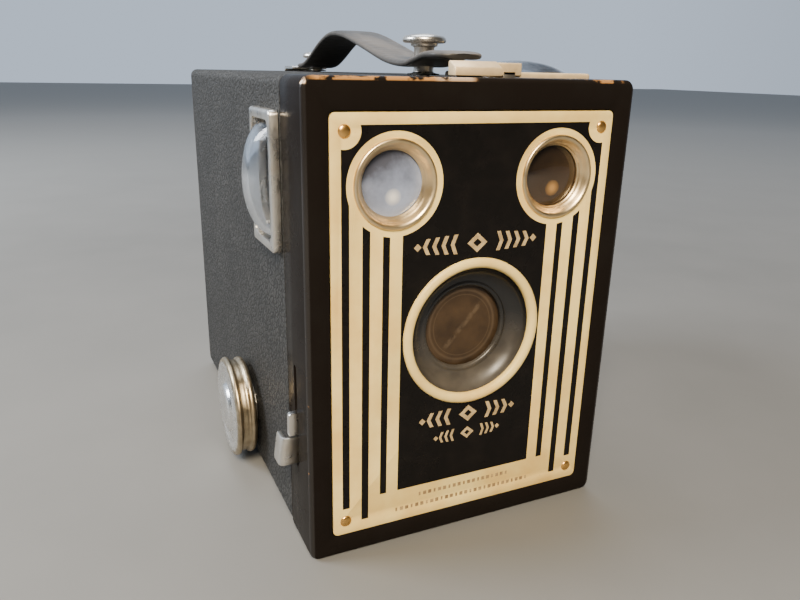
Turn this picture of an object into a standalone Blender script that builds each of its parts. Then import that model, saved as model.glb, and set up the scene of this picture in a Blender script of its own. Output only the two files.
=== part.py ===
"""A box roll-film camera of the 1930s, as an assembly of its separate pieces.

The model is in metres, with +Z up. The lens looks along -Y, +X is on the right as seen from the front, and
the origin is the middle of the base. Sizes in this file are in millimetres, and a depth is measured back from the
front face of the front cover, so the numbers read like those on a workshop drawing. place() turns them into metres.
"""

import math

import bmesh
import bpy
from mathutils import Matrix, Vector

MM = 0.001
OBJECT_NAME = "box_camera"

# Driving dimensions of the case.
BODY_WIDTH = 76.0
BODY_HEIGHT = 102.5
BODY_DEPTH = 120.7
CORNER_RADIUS = 2.2
FRONT_BEVEL = 1.0
COVER_DEPTH = 14.3
COVER_WALL = 0.8
COVER_FRONT_WALL = 1.6
PLATE_RECESS = 0.7
GAP = 0.1
SHELL_WALL = 0.9
SKIN = 0.7
SHELL_START = 10.0
SHELL_END = 118.9

# The faceplate, and what shows through it.
PLATE_WIDTH = 65.4
PLATE_BOTTOM = 5.2
PLATE_TOP = 96.1
NAIL_X = 29.8
NAIL_HEIGHTS = {"upper": 92.7, "lower": 8.5}
NAIL_HOLE_RADIUS = 0.75
LENS_HEIGHT = 49.1
LENS_HOLE_RADIUS = 15.3
FINDER_X = 19.1
FINDER_HEIGHT = 82.3
FINDER_HOLE_RADIUS = 8.6

# The reflex finders: a mirror at 45 degrees sends each finder's light out of its window.
# The left finder looks out of the side window and the right one out of the top window.
MIRROR_DEPTH = {"side": 24.0, "top": 18.3}
MIRROR_REACH = {"side": 12.0, "top": 6.5}
MIRROR_HALF_WIDTH = 13.0
MIRROR_THICKNESS = 1.0
WINDOW_LENGTH = 29.2
WINDOW_BREADTH = 17.0
WINDOW_THICKNESS = {"side": 1.9, "top": 1.1}
WINDOW_OPENING = (25.0, 13.4)
WINDOW_PANE = (27.0, 15.4)
PANE_THICKNESS = 1.1
DOME_RISE = {"side": 6.0, "top": 3.9}
SIDE_WINDOW_HEIGHT = 81.0

# The shutter.
LEVER_PIVOT = (-14.0, 27.0)
DISC_PIVOT = (12.0, 38.0)
DISC_RADIUS = 21.8
SHUTTER_PLATE_DEPTH = 10.6
APERTURE_TRAVEL = 8.0

# The film transport.
SPOOL_DEPTH = 52.0
TAKEUP_HEIGHT = 15.3
SUPPLY_HEIGHT = 86.0
CARRIER_X = 33.0
CARRIER_WALL = 0.8
FILM_DEPTH = 108.0
FRAME_HALF = (27.5, 40.5)
ROLLER_DEPTH = 107.5
ROLLER_HEIGHTS = {"lower": 4.3, "upper": 93.9}
KNOB_RADIUS = 13.5

# The door and its hinge.
DOOR_DEPTH = 119.2
DOOR_WALL = 0.8
HINGE_DEPTH = 121.3
HINGE_HEIGHT = 1.5
LATCH_DEPTH = 122.1
LATCH_HEIGHT = BODY_HEIGHT - 4.1

# The carrying strap.
STRAP_WIDTH = 12.0
STRAP_THICKNESS = 1.6
STUD_DEPTHS = {"front": 28.0, "rear": 107.0}
STUD_HOLE_RADIUS = 1.9

# Each finish is its colour, roughness and metallic value.
BLACK_ENAMEL = ((0.015, 0.014, 0.014), 0.22, 0.0)
LEATHERETTE = ((0.045, 0.047, 0.048), 0.72, 0.0)
CREAM_ENAMEL = ((0.72, 0.62, 0.45), 0.4, 0.0)
BRASS = ((0.62, 0.43, 0.16), 0.35, 1.0)
NICKEL = ((0.62, 0.6, 0.56), 0.28, 1.0)
STEEL = ((0.35, 0.35, 0.36), 0.4, 1.0)
DARK_STEEL = ((0.06, 0.06, 0.065), 0.5, 1.0)
GLASS = ((0.8, 0.85, 0.85), 0.05, 0.0)
DUSTY_GLASS = ((0.16, 0.12, 0.08), 0.3, 0.0)
MIRROR = ((0.9, 0.9, 0.9), 0.03, 1.0)
RED_GLASS = ((0.35, 0.01, 0.01), 0.1, 0.0)
LEATHER = ((0.04, 0.036, 0.032), 0.6, 0.0)


# ---------------------------------------------------------------- helpers


def place(x, depth, height):
    """The point in metres, from millimetres and a depth measured back from the front."""
    return Vector((x, depth - BODY_DEPTH / 2, height)) * MM


def clear_scene():
    for thing in list(bpy.data.objects):
        bpy.data.objects.remove(thing)


def new_collection(name):
    collection = bpy.data.collections.new(name)
    bpy.context.scene.collection.children.link(collection)
    return collection


def principled(name, finish):
    colour, roughness, metallic = finish
    material = bpy.data.materials.new(name)
    material.use_nodes = True
    shader = material.node_tree.nodes["Principled BSDF"]
    shader.inputs["Base Color"].default_value = (*colour, 1.0)
    shader.inputs["Roughness"].default_value = roughness
    shader.inputs["Metallic"].default_value = metallic
    return material


def add_object(name, data, finish):
    """Puts data in the scene. A piece has a finish; a cutter has none and goes into its own collection."""
    thing = bpy.data.objects.new(name, data)
    if finish is None:
        CUTTERS.objects.link(thing)
        thing.hide_render = True
        thing.display_type = "WIRE"
    else:
        PARTS.objects.link(thing)
        data.materials.append(principled(name, finish))
    return thing


def box(name, xs, depths, heights, finish=None):
    """A rectangular block between two values on each axis."""
    low, high = (place(x, y, z) for x, y, z in zip(xs, depths, heights))
    mesh = bpy.data.meshes.new(name)
    shape = bmesh.new()
    bmesh.ops.create_cube(shape, size=1.0)
    bmesh.ops.scale(shape, vec=high - low, verts=shape.verts)
    shape.to_mesh(mesh)
    shape.free()
    thing = add_object(name, mesh, finish)
    thing.location = (low + high) / 2
    return thing


# How a plane's two outline directions and its normal lie in the world.
PLANES = {
    "XZ": Matrix(((1, 0, 0), (0, 0, -1), (0, 1, 0))),
    "YZ": Matrix(((0, 0, 1), (1, 0, 0), (0, 1, 0))),
    "XY": Matrix.Identity(3),
}
NORMAL_AXIS = {"XZ": 1, "YZ": 0, "XY": 2}
OUTLINE_AXES = {"XZ": (0, 2), "YZ": (1, 2), "XY": (0, 1)}


def sheet(name, plane, loops, between, finish=None, pivot=None):
    """A flat outline, with any holes, extruded between two values on the plane's normal.

    loops are lists of points in the plane, in millimetres and true depths. pivot is the point that becomes
    the object's origin.
    """
    across, up = OUTLINE_AXES[plane]
    normal = NORMAL_AXIS[plane]
    centre = [0.0, BODY_DEPTH / 2, 0.0] if pivot is None else list(pivot)
    middle = sum(between) / 2
    curve = bpy.data.curves.new(name, "CURVE")
    curve.dimensions = "2D"
    curve.fill_mode = "BOTH"
    curve.extrude = (between[1] - between[0]) / 2 * MM
    for loop in loops:
        spline = curve.splines.new("POLY")
        spline.points.add(len(loop) - 1)
        for point, (a, b) in zip(spline.points, loop):
            point.co = ((a - centre[across]) * MM, (b - centre[up]) * MM, 0.0, 1.0)
        spline.use_cyclic_u = True
    maker = bpy.data.objects.new(name + "_outline", curve)
    bpy.context.scene.collection.objects.link(maker)
    graph = bpy.context.evaluated_depsgraph_get()
    mesh = bpy.data.meshes.new_from_object(maker.evaluated_get(graph))
    bpy.data.objects.remove(maker)
    bpy.data.curves.remove(curve)
    mesh.name = name
    shift = [0.0, 0.0, 0.0]
    shift[normal] = (middle - centre[normal]) * MM
    shape = bmesh.new()
    shape.from_mesh(mesh)
    bmesh.ops.remove_doubles(shape, verts=shape.verts, dist=1e-6)
    bmesh.ops.transform(shape, matrix=PLANES[plane].to_4x4(), verts=shape.verts)
    bmesh.ops.translate(shape, vec=shift, verts=shape.verts)
    bmesh.ops.recalc_face_normals(shape, faces=shape.faces)
    shape.to_mesh(mesh)
    shape.free()
    thing = add_object(name, mesh, finish)
    thing.location = place(*centre)
    return thing


def turned(name, axis, centre, profile, finish=None, steps=32):
    """A turned shape. profile is a loop of (radius, position along the axis), both in millimetres.

    The axis is X, Y or Z through centre, and positions along it are true coordinates. Where the loop
    touches radius 0 at both ends, it is left open there and the shape is solid.
    """
    along = "XYZ".index(axis)
    turn = {"X": (0, math.pi / 2, 0), "Y": (-math.pi / 2, 0, 0), "Z": (0, 0, 0)}[axis]
    area = sum(
        a[0] * b[1] - b[0] * a[1] for a, b in zip(profile, profile[1:] + profile[:1])
    )
    points = profile[::-1] if area > 0 else profile
    solid = points[0][0] == 0 and points[-1][0] == 0
    mesh = bpy.data.meshes.new(name)
    shape = bmesh.new()
    verts = [
        shape.verts.new((radius * MM, 0, (position - centre[along]) * MM))
        for radius, position in points
    ]
    for first, second in zip(verts, verts[1:] if solid else verts[1:] + verts[:1]):
        shape.edges.new((first, second))
    shape.to_mesh(mesh)
    shape.free()
    thing = add_object(name, mesh, finish)
    thing.location = place(*centre)
    thing.rotation_euler = turn
    screw = thing.modifiers.new("turn", "SCREW")
    screw.steps = screw.render_steps = steps
    screw.use_merge_vertices = True
    screw.merge_threshold = 1e-6
    screw.use_smooth_shade = True
    return thing


def boolean(thing, operation, *others):
    for other in others:
        modifier = thing.modifiers.new(other.name, "BOOLEAN")
        modifier.operation = operation
        modifier.solver = "EXACT"
        modifier.object = other
    return thing


def cut(thing, *cutters):
    return boolean(thing, "DIFFERENCE", *cutters)


def join(thing, *additions):
    return boolean(thing, "UNION", *additions)


def circle(across, up, radius, count=32):
    steps = (2 * math.pi * k / count for k in range(count))
    return [(across + radius * math.cos(t), up + radius * math.sin(t)) for t in steps]


def rounded(across, up, radius, steps=4):
    """A rectangle between two values each way, with round corners."""
    corners = [
        (across[1] - radius, up[1] - radius, 0),
        (across[0] + radius, up[1] - radius, 1),
        (across[0] + radius, up[0] + radius, 2),
        (across[1] - radius, up[0] + radius, 3),
    ]
    points = []
    for x, y, quarter in corners:
        for step in range(steps + 1):
            angle = math.pi / 2 * (quarter + step / steps)
            points.append((x + radius * math.cos(angle), y + radius * math.sin(angle)))
    return points


def span(middle, length):
    return (middle - length / 2, middle + length / 2)


def hole(name, axis, centre, radius, between, steps=24):
    """A round cutter between two positions on its axis."""
    low, high = between
    return turned(name, axis, centre, [(0, high), (radius, high), (radius, low), (0, low)], None, steps)


def case_outline(inset, radius=CORNER_RADIUS):
    """The case's section, seen from the front, drawn in by inset."""
    return rounded(
        (-BODY_WIDTH / 2 + inset, BODY_WIDTH / 2 - inset),
        (inset, BODY_HEIGHT - inset),
        max(radius - inset, 0.6),
    )


# ---------------------------------------------------------------- case


def window_cutters(name):
    """The openings for the side finder's window and the top finder's window."""
    long_side, short_side = WINDOW_PANE
    clearance = 0.6
    side = box(
        name + "_side_window",
        (-45, -30),
        span(MIRROR_DEPTH["side"], short_side + clearance),
        span(SIDE_WINDOW_HEIGHT, long_side + clearance),
    )
    top = box(
        name + "_top_window",
        span(FINDER_X, long_side + clearance),
        span(MIRROR_DEPTH["top"], short_side + clearance),
        (95, 110),
    )
    return side, top


def fastener_cutters(name):
    """Holes for the two strap studs and for the winding knob's bushing."""
    studs = [
        hole(f"{name}_{end}", "Z", (0, depth, 100), STUD_HOLE_RADIUS, (96, 105), 16)
        for end, depth in STUD_DEPTHS.items()
    ]
    bushing = hole(f"{name}_bushing", "X", (-36, SPOOL_DEPTH, TAKEUP_HEIGHT), 3.9, (-42, -32))
    return [*studs, bushing]


def body_shell():
    outer_inset = COVER_WALL + GAP
    shell = sheet(
        "body_shell",
        "XZ",
        [case_outline(outer_inset), case_outline(outer_inset + SHELL_WALL)],
        (SHELL_START, SHELL_END),
        DARK_STEEL,
    )
    cut(shell, *window_cutters("shell"), *fastener_cutters("shell_hole"))


def side_leatherette():
    """The covering of the top and both sides, in one piece wrapped over the top corners."""
    outer = BODY_WIDTH / 2 - 0.1
    inner = outer - SKIN
    top = BODY_HEIGHT - 0.1
    foot = CORNER_RADIUS + 0.3
    corner = CORNER_RADIUS - 0.1
    wrap = sheet(
        "side_leatherette",
        "XZ",
        [
            rounded((-outer, outer), (foot - 10, top), corner),
            rounded((-inner, inner), (foot - 9, top - SKIN), corner - SKIN),
        ],
        (COVER_DEPTH + 0.3, SHELL_END - 0.1),
        LEATHERETTE,
    )
    below = box("wrap_foot", (-50, 50), (0, 130), (-20, foot))
    cut(wrap, below, *window_cutters("skin"), *fastener_cutters("skin_hole"))


def bottom_leatherette():
    half = BODY_WIDTH / 2 - CORNER_RADIUS - 0.2
    box("bottom_leatherette", (-half, half), (COVER_DEPTH + 0.3, 112.2), (0, 0.8), LEATHERETTE)


def front_cover():
    """A deep pan pressed over the front of the shell, with a shallow recess for the faceplate."""
    cover = sheet("front_cover", "XZ", [case_outline(0)], (0, COVER_DEPTH), BLACK_ENAMEL)
    shape = bmesh.new()
    shape.from_mesh(cover.data)
    front = place(0, 0, 0).y
    rim = [
        edge
        for edge in shape.edges
        if all(abs(v.co.y + cover.location.y - front) < 1e-6 for v in edge.verts)
        and len({round(abs(f.normal.y)) for f in edge.link_faces}) == 2
    ]
    bmesh.ops.bevel(shape, geom=rim, offset=FRONT_BEVEL * MM, segments=2, profile=0.5, affect="EDGES")
    shape.to_mesh(cover.data)
    shape.free()
    hollow = sheet(
        "cover_hollow", "XZ", [case_outline(COVER_WALL)], (COVER_FRONT_WALL, COVER_DEPTH + 5)
    )
    recess = sheet("cover_recess", "XZ", [plate_outline(0.25)], (-2, PLATE_RECESS))
    openings = [hole("cover_lens", "Y", (0, 0, LENS_HEIGHT), LENS_HOLE_RADIUS, (-2, 4), 32)]
    for side in (-1, 1):
        finder = (side * FINDER_X, 0, FINDER_HEIGHT)
        openings.append(hole(f"cover_finder_{side}", "Y", finder, FINDER_HOLE_RADIUS, (-2, 4), 24))
        for name, height in NAIL_HEIGHTS.items():
            nail = (side * NAIL_X, 0, height)
            openings.append(hole(f"cover_nail_{name}_{side}", "Y", nail, NAIL_HOLE_RADIUS, (-2, 4), 8))
    lever_slot = box("cover_lever_slot", (-45, -34), (7.5, 9.5), (19.5, 44.0))
    aperture_slot = box("cover_aperture_slot", (-3.4, 3.4), (6.4, 7.8), (98, 105))
    time_slot = box("cover_time_slot", (8.7, 12.3), (7.7, 9.1), (98, 105))
    slots = [lever_slot, aperture_slot, time_slot, window_cutters("cover")[1]]
    cut(cover, hollow, recess, *openings, *slots)


def plate_outline(margin=0.0):
    half = PLATE_WIDTH / 2 + margin
    return rounded((-half, half), (PLATE_BOTTOM - margin, PLATE_TOP + margin), 1.2)


def faceplate():
    holes = [circle(0, LENS_HEIGHT, LENS_HOLE_RADIUS, 32)]
    for side in (-1, 1):
        holes.append(circle(side * FINDER_X, FINDER_HEIGHT, FINDER_HOLE_RADIUS - 0.1, 24))
        for height in NAIL_HEIGHTS.values():
            holes.append(circle(side * NAIL_X, height, NAIL_HOLE_RADIUS, 8))
    sheet("faceplate", "XZ", [plate_outline(), *holes], (0.1, 0.6), CREAM_ENAMEL)


def faceplate_nails():
    """Round-headed nails that hold the faceplate's corners."""
    profile = [(0, -0.45), (0.8, -0.36), (1.3, 0.0), (0.5, 0.0), (0.5, 2.4), (0, 2.4)]
    for side, side_name in ((-1, "left"), (1, "right")):
        for level, height in NAIL_HEIGHTS.items():
            turned(f"nail_{level}_{side_name}", "Y", (side * NAIL_X, 0, height), profile, BRASS, 10)


# ---------------------------------------------------------------- taking lens and shutter


def lens_front():
    """The cream rim, the black funnel behind it and the clear glass at its bottom."""
    centre = (0, 0, LENS_HEIGHT)
    rim = [(14.7, 0.0), (14.8, -0.5), (15.3, -0.85), (16.2, -0.85), (16.75, -0.5), (16.9, 0.0)]
    turned("lens_rim", "Y", centre, rim, CREAM_ENAMEL, 32)
    cone = [
        (15.0, 0.15), (14.5, 0.15), (13.6, 1.3), (12.2, 2.6), (10.5, 3.8), (9.45, 3.8), (9.45, 4.4),
        (11.0, 4.4), (11.0, 6.6), (11.5, 6.6), (11.5, 4.2), (13.2, 2.5), (17.0, 2.5), (17.0, 1.8), (15.0, 1.8),
    ]
    turned("lens_cone", "Y", centre, cone, BLACK_ENAMEL, 32)
    glass = [(0, 4.7), (10.8, 4.7), (10.8, 5.9), (0, 5.9)]
    turned("front_glass", "Y", centre, glass, DUSTY_GLASS, 24)


def shutter_plate():
    """The upright board that carries the shutter, with a bridge that guides the two slides."""
    edge = BODY_WIDTH / 2 - COVER_WALL - GAP - SHELL_WALL - 0.3
    outline = rounded((-edge, edge), (2.2, BODY_HEIGHT - 2.2), 1.0, 2)
    holes = [circle(0, LENS_HEIGHT, 5.0, 16)]
    holes += [circle(side * FINDER_X, FINDER_HEIGHT, 8.5, 16) for side in (-1, 1)]
    plate = sheet("shutter_plate", "XZ", [outline, *holes], (SHUTTER_PLATE_DEPTH, 11.4), DARK_STEEL)
    bridge = box("slide_bridge", (-8.2, 14.7), (5.9, 11.2), (61.2, 65.0))
    aperture_way = box("aperture_way", (-5.9, 5.9), (6.5, 7.7), (50, 80))
    time_way = box("time_way", (8.7, 12.3), (7.8, 9.0), (50, 80))
    cut(bridge, aperture_way, time_way)
    join(plate, bridge)


def meniscus():
    centre = (0, 0, LENS_HEIGHT)
    lens = [(0, 12.6), (3.5, 12.4), (6.8, 11.9), (6.8, 12.8), (3.5, 13.4), (0, 13.7)]
    turned("meniscus_lens", "Y", centre, lens, GLASS, 16)
    cell = [(7.0, 11.6), (9.0, 11.6), (9.0, 14.6), (5.6, 14.6), (5.6, 14.0), (7.0, 14.0)]
    turned("lens_cell", "Y", centre, cell, STEEL, 16)


def pivot_pin(name, pivot, head_depth):
    """A headed pin that stands on the shutter plate."""
    x, height = pivot
    neck = head_depth + 0.7
    foot = SHUTTER_PLATE_DEPTH - GAP
    profile = [(0, head_depth), (3.0, head_depth), (3.0, neck), (1.4, neck), (1.4, foot), (0, foot)]
    turned(name, "Y", (x, head_depth, height), profile, STEEL, 10)


def release_lever():
    """A flat lever, whose thumb tab stands out of the left side through a slot."""
    x, height = LEVER_PIVOT
    outline = [
        (x, height + 3.6), (x - 12, height + 3.2), (x - 22, height + 6.0), (x - 25.6, height + 6.0),
        (x - 25.6, height + 1.6), (x - 24.2, height + 1.2), (x - 24.2, height + 0.2), (x - 27.4, height + 0.2),
        (x - 28.4, height - 0.6), (x - 28.4, height - 6.4), (x - 22.4, height - 6.4), (x - 20, height - 3.2),
        (x, height - 3.6), (x + 3.0, height - 2.0), (x + 3.6, height), (x + 3.0, height + 2.0),
    ]
    pivot = (x, 8.5, height)
    lever = sheet("release_lever", "XZ", [outline, circle(x, height, 1.7, 16)], (8.0, 9.0), NICKEL, pivot)
    rolled = [
        (x - 28.4, 8.0), (x - 27.4, 8.0), (x - 27.0, 9.0), (x - 27.0, 12.6), (x - 27.8, 12.6), (x - 28.4, 11.4),
    ]
    curl = sheet("lever_curl", "XY", [rolled], (height - 6.4, height - 0.6))
    join(lever, curl)


def shutter_spring():
    """The hairpin spring that throws the disc over."""
    x, height = LEVER_PIVOT
    wire = bpy.data.curves.new("shutter_spring", "CURVE")
    wire.dimensions = "3D"
    wire.bevel_depth = 0.25 * MM
    wire.bevel_resolution = 1
    wire.use_fill_caps = True
    spline = wire.splines.new("POLY")
    legs = [(-4.5, 9.5), (-4.5, 4.0)]
    bend = [(-4.5 * math.cos(t), -4.5 * math.sin(t)) for t in (math.pi * k / 8 for k in range(7))]
    route = legs + bend + [(1.0, -5.4), (-8.0, -5.0)]
    spline.points.add(len(route) - 1)
    for point, (across, up) in zip(spline.points, route):
        point.co = (*(Vector((across, 0, up)) * MM), 1.0)
    thing = add_object("shutter_spring", wire, STEEL)
    thing.location = place(x, 7.7, height)


def arc(across, up, radius, start, end, steps):
    """Points on a circle between two angles, both ends included."""
    angles = (start + (end - start) * k / steps for k in range(steps + 1))
    return [(across + radius * math.cos(t), up + radius * math.sin(t)) for t in angles]


def arc_slot(x, height, reach, half_width, start, end):
    """A slot of constant width along a circle about (x, height), with round ends."""
    points = arc(x, height, reach + half_width, start, end, 4)
    points += end_cap(x, height, reach, half_width, end, 0)
    points += arc(x, height, reach - half_width, end, start, 4)
    points += end_cap(x, height, reach, half_width, start, math.pi)
    return points


def end_cap(x, height, reach, radius, angle, turned_by):
    """The inner points of a half circle that closes a slot at this angle."""
    first = angle + turned_by
    centre = (x + reach * math.cos(angle), height + reach * math.sin(angle))
    return arc(*centre, radius, first, first + math.pi, 6)[1:-1]


def shutter_disc():
    """A rotary disc. Its arc slot sweeps past the lens as the disc turns."""
    x, height = DISC_PIVOT
    reach = math.hypot(x, LENS_HEIGHT - height)
    lens_angle = math.atan2(LENS_HEIGHT - height, -x)
    middle = lens_angle + math.radians(35)
    half_arc = math.radians(9)
    slot = arc_slot(x, height, reach, 4.4, middle - half_arc, middle + half_arc)
    loops = [circle(x, height, DISC_RADIUS, 32), slot, circle(x, height, 1.7, 12)]
    sheet("shutter_disc", "XZ", loops, (9.5, 10.0), DARK_STEEL, (x, 9.75, height))


def slides():
    """The aperture slide with its two stops, and the time exposure slide. Both end in a tab on top."""
    low_stop = LENS_HEIGHT - APERTURE_TRAVEL
    head = BODY_HEIGHT + 1.2
    outline = [
        (-5.5, 35.0), (5.5, 35.0), (5.5, 91.5), (3.0, 92.5),
        (3.0, head), (-3.0, head), (-3.0, 92.5), (-5.5, 91.5),
    ]
    stops = [circle(0, LENS_HEIGHT, 4.0, 20), circle(0, low_stop, 2.4, 16)]
    aperture = sheet("aperture_slide", "XZ", [outline, *stops], (6.8, 7.4), NICKEL)
    foot = BODY_HEIGHT + 0.3
    wedge = [(4.8, foot), (7.9, foot), (7.9, foot + 2.9), (7.3, foot + 2.9), (4.8, foot + 1.6)]
    join(aperture, sheet("aperture_tab", "YZ", [wedge], (-4.4, 6.6)))
    strip = [(9.0, 60.3), (12.0, 60.3), (12.0, head), (9.0, head)]
    time = sheet("time_slide", "XZ", [strip], (8.1, 8.7), NICKEL)
    join(time, box("time_tab", (7.2, 13.6), (8.1, 9.5), (foot, foot + 2.7)))


# ---------------------------------------------------------------- reflex finders


def finder_bezel(name, x):
    profile = [
        (8.95, 0.0), (8.6, -0.5), (8.1, -0.3), (6.7, 1.5), (6.7, 2.2), (7.8, 2.2), (7.8, 5.0),
        (8.3, 5.0), (8.3, 0.0),
    ]
    turned(f"finder_bezel_{name}", "Y", (x, 0, FINDER_HEIGHT), profile, BRASS, 24)
    lens = [(0, 1.3), (3.4, 1.5), (6.2, 2.3), (7.6, 2.4), (7.6, 4.0), (0, 4.5)]
    turned(f"finder_lens_{name}", "Y", (x, 0, FINDER_HEIGHT), lens, GLASS, 20)


def finder_optics(name, window, start, middle, plane, outward, rim):
    """The mirror of one finder, and the bracket that holds it.

    Each is drawn as an outline across the mirror, in the plane that holds the light's path, and extruded
    along the mirror. start is the optical axis in that plane, outward is the way the window lies from it, and
    rim is how far out the bracket's cheeks reach.
    """
    reach = MIRROR_REACH[window]
    near = MIRROR_DEPTH[window] - reach
    far = MIRROR_DEPTH[window] + reach
    front = SHUTTER_PLATE_DEPTH + 1.0

    def across(depth, offset):
        """A point at a depth, offset outwards from the optical axis, in the plane's own order."""
        point = (start + outward * offset, depth)
        return point if plane == "XY" else point[::-1]

    def strip(face, back):
        """A strip along the mirror, between two distances behind its face."""
        shift = 1 / math.sqrt(2)
        return [
            across(near + face * shift, -reach - face * shift),
            across(far + face * shift, reach - face * shift),
            across(far + back * shift, reach - back * shift),
            across(near + back * shift, -reach - back * shift),
        ]

    half = MIRROR_HALF_WIDTH
    edge = half + 0.9
    silver = strip(0, MIRROR_THICKNESS)
    sheet(f"finder_mirror_{name}", plane, [silver], (middle - half, middle + half), MIRROR)
    tray = strip(MIRROR_THICKNESS + 0.15, MIRROR_THICKNESS + 0.85)
    backing = sheet(f"finder_bracket_{name}", plane, [tray], (middle - edge, middle + edge), DARK_STEEL)
    shape = [
        across(front, -reach - 1.6),
        across(near + 1.6, -reach - 1.6),
        across(far + 0.5, reach - 0.9),
        across(far + 0.5, rim),
        across(front, rim),
    ]
    for end, low in (("a", middle - edge), ("b", middle + half + 0.2)):
        join(backing, sheet(f"{name}_cheek_{end}", plane, [shape], (low, low + 0.7)))


def finder_window(name, matrix):
    """A pressed metal frame with a domed glass behind it. It is made flat, with +Z outwards, then turned."""
    opening_long, opening_short = WINDOW_OPENING
    outer = rounded(span(0, WINDOW_LENGTH), span(BODY_DEPTH / 2, WINDOW_BREADTH), 1.2, 2)
    inner = rounded(span(0, opening_long), span(BODY_DEPTH / 2, opening_short), 1.6, 3)
    frame = sheet(f"finder_frame_{name}", "XY", [outer, inner], (0.0, WINDOW_THICKNESS[name]), NICKEL)
    frame.matrix_world = matrix

    mesh = bpy.data.meshes.new(f"finder_window_{name}")
    shape = bmesh.new()
    cells_long, cells_short = 12, 10
    bmesh.ops.create_grid(shape, x_segments=cells_long, y_segments=cells_short, size=0.5)
    pane_long, pane_short = WINDOW_PANE
    # The dome covers all of the grid but its outermost ring of cells, which stays flat behind the frame.
    for vert in shape.verts:
        u = 2 * vert.co.x * cells_long / (cells_long - 2)
        v = 2 * vert.co.y * cells_short / (cells_short - 2)
        swell = (max(0.0, 1 - u * u) * max(0.0, 1 - v * v)) ** 0.6
        rise = DOME_RISE[name] * swell - 0.25
        vert.co = Vector((vert.co.x * pane_long, vert.co.y * pane_short, rise)) * MM
    shape.to_mesh(mesh)
    shape.free()
    pane = add_object(f"finder_window_{name}", mesh, GLASS)
    solid = pane.modifiers.new("thickness", "SOLIDIFY")
    solid.thickness = PANE_THICKNESS * MM
    solid.offset = -1.0
    pane.matrix_world = matrix


def finders():
    """The left finder looks out of the side, along -X. The right one looks out of the top, along +Z."""
    finder_bezel("left", -FINDER_X)
    finder_bezel("right", FINDER_X)
    side_rim = BODY_WIDTH / 2 - 2.0 - FINDER_X
    finder_optics("left", "side", -FINDER_X, SIDE_WINDOW_HEIGHT + 1.0, "XY", -1, side_rim)
    top_rim = BODY_HEIGHT - 2.2 - FINDER_HEIGHT
    finder_optics("right", "top", FINDER_HEIGHT, FINDER_X, "YZ", 1, top_rim)
    top = Matrix.Translation(place(FINDER_X, MIRROR_DEPTH["top"], BODY_HEIGHT + 0.05))
    finder_window("top", top)
    outwards = Matrix(((0, 0, -1), (0, 1, 0), (1, 0, 0))).to_4x4()
    side = Matrix.Translation(place(-BODY_WIDTH / 2 - 0.05, MIRROR_DEPTH["side"], SIDE_WINDOW_HEIGHT))
    finder_window("side", side @ outwards)


# ---------------------------------------------------------------- film carrier


def carrier_plates():
    """Two side plates, stepped at the top front to leave room for the finders."""
    outline = [(16.0, 3.0), (109.6, 3.0), (109.6, 97.6), (41.6, 97.6), (41.6, 64.0), (16.0, 64.0)]
    rollers = [circle(ROLLER_DEPTH, height, 1.2, 12) for height in ROLLER_HEIGHTS.values()]
    supply = circle(SPOOL_DEPTH, SUPPLY_HEIGHT, 1.7, 12)
    for name, side, bore in (("left", -1, 3.2), ("right", 1, 1.7)):
        take_up = circle(SPOOL_DEPTH, TAKEUP_HEIGHT, bore, 16)
        between = sorted((side * CARRIER_X, side * (CARRIER_X + CARRIER_WALL)))
        sheet(f"carrier_plate_{name}", "YZ", [outline, *rollers, supply, take_up], between, STEEL)


def light_cone():
    """The four-sided funnel between the lens and the film."""
    mesh = bpy.data.meshes.new("light_cone")
    shape = bmesh.new()
    corners = ((-1, -1), (1, -1), (1, 1), (-1, 1))
    mouth = (FILM_DEPTH - 0.4, FRAME_HALF[0] + 0.9, FRAME_HALF[1] + 0.9)
    rings = []
    for depth, half_width, half_height in ((15.2, 7.0, 7.0), mouth):
        ring = [place(a * half_width, depth, LENS_HEIGHT + b * half_height) for a, b in corners]
        rings.append([shape.verts.new(point) for point in ring])
    for k in range(4):
        shape.faces.new((rings[0][k - 1], rings[0][k], rings[1][k], rings[1][k - 1]))
    bmesh.ops.recalc_face_normals(shape, faces=shape.faces)
    shape.to_mesh(mesh)
    shape.free()
    cone = add_object("light_cone", mesh, DARK_STEEL)
    solid = cone.modifiers.new("thickness", "SOLIDIFY")
    solid.thickness = 0.8 * MM
    solid.offset = -1.0


def film_gate():
    half_width, half_height = FRAME_HALF
    outer = [(-32.7, 6.7), (32.7, 6.7), (32.7, 91.5), (-32.7, 91.5)]
    window = rounded((-half_width, half_width), span(LENS_HEIGHT, 2 * half_height), 1.0, 2)
    sheet("film_gate", "XZ", [outer, window], (FILM_DEPTH, FILM_DEPTH + 0.9), DARK_STEEL)


def spool_pins():
    """Riveted pins that a spool's ends turn on."""
    for name, side, height in (
        ("supply_pin_left", -1, SUPPLY_HEIGHT),
        ("supply_pin_right", 1, SUPPLY_HEIGHT),
        ("takeup_pin", 1, TAKEUP_HEIGHT),
    ):
        steps = [
            (0, 30.0), (2.2, 30.0), (2.4, 30.3), (2.4, 32.8), (1.4, 32.8), (1.4, 34.1), (2.4, 34.1), (2.4, 34.8),
            (0, 34.8),
        ]
        profile = [(radius, side * x) for radius, x in steps]
        turned(name, "X", (side * CARRIER_X, SPOOL_DEPTH, height), profile, STEEL, 10)


def film_rollers():
    half = [(1.9, 32.6), (0.9, 32.6), (0.9, 33.9), (0, 33.9)]
    steps = [(radius, -x) for radius, x in half[::-1]] + half
    for name, height in ROLLER_HEIGHTS.items():
        turned(f"film_roller_{name}", "X", (0, ROLLER_DEPTH, height), steps, NICKEL, 12)


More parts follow.
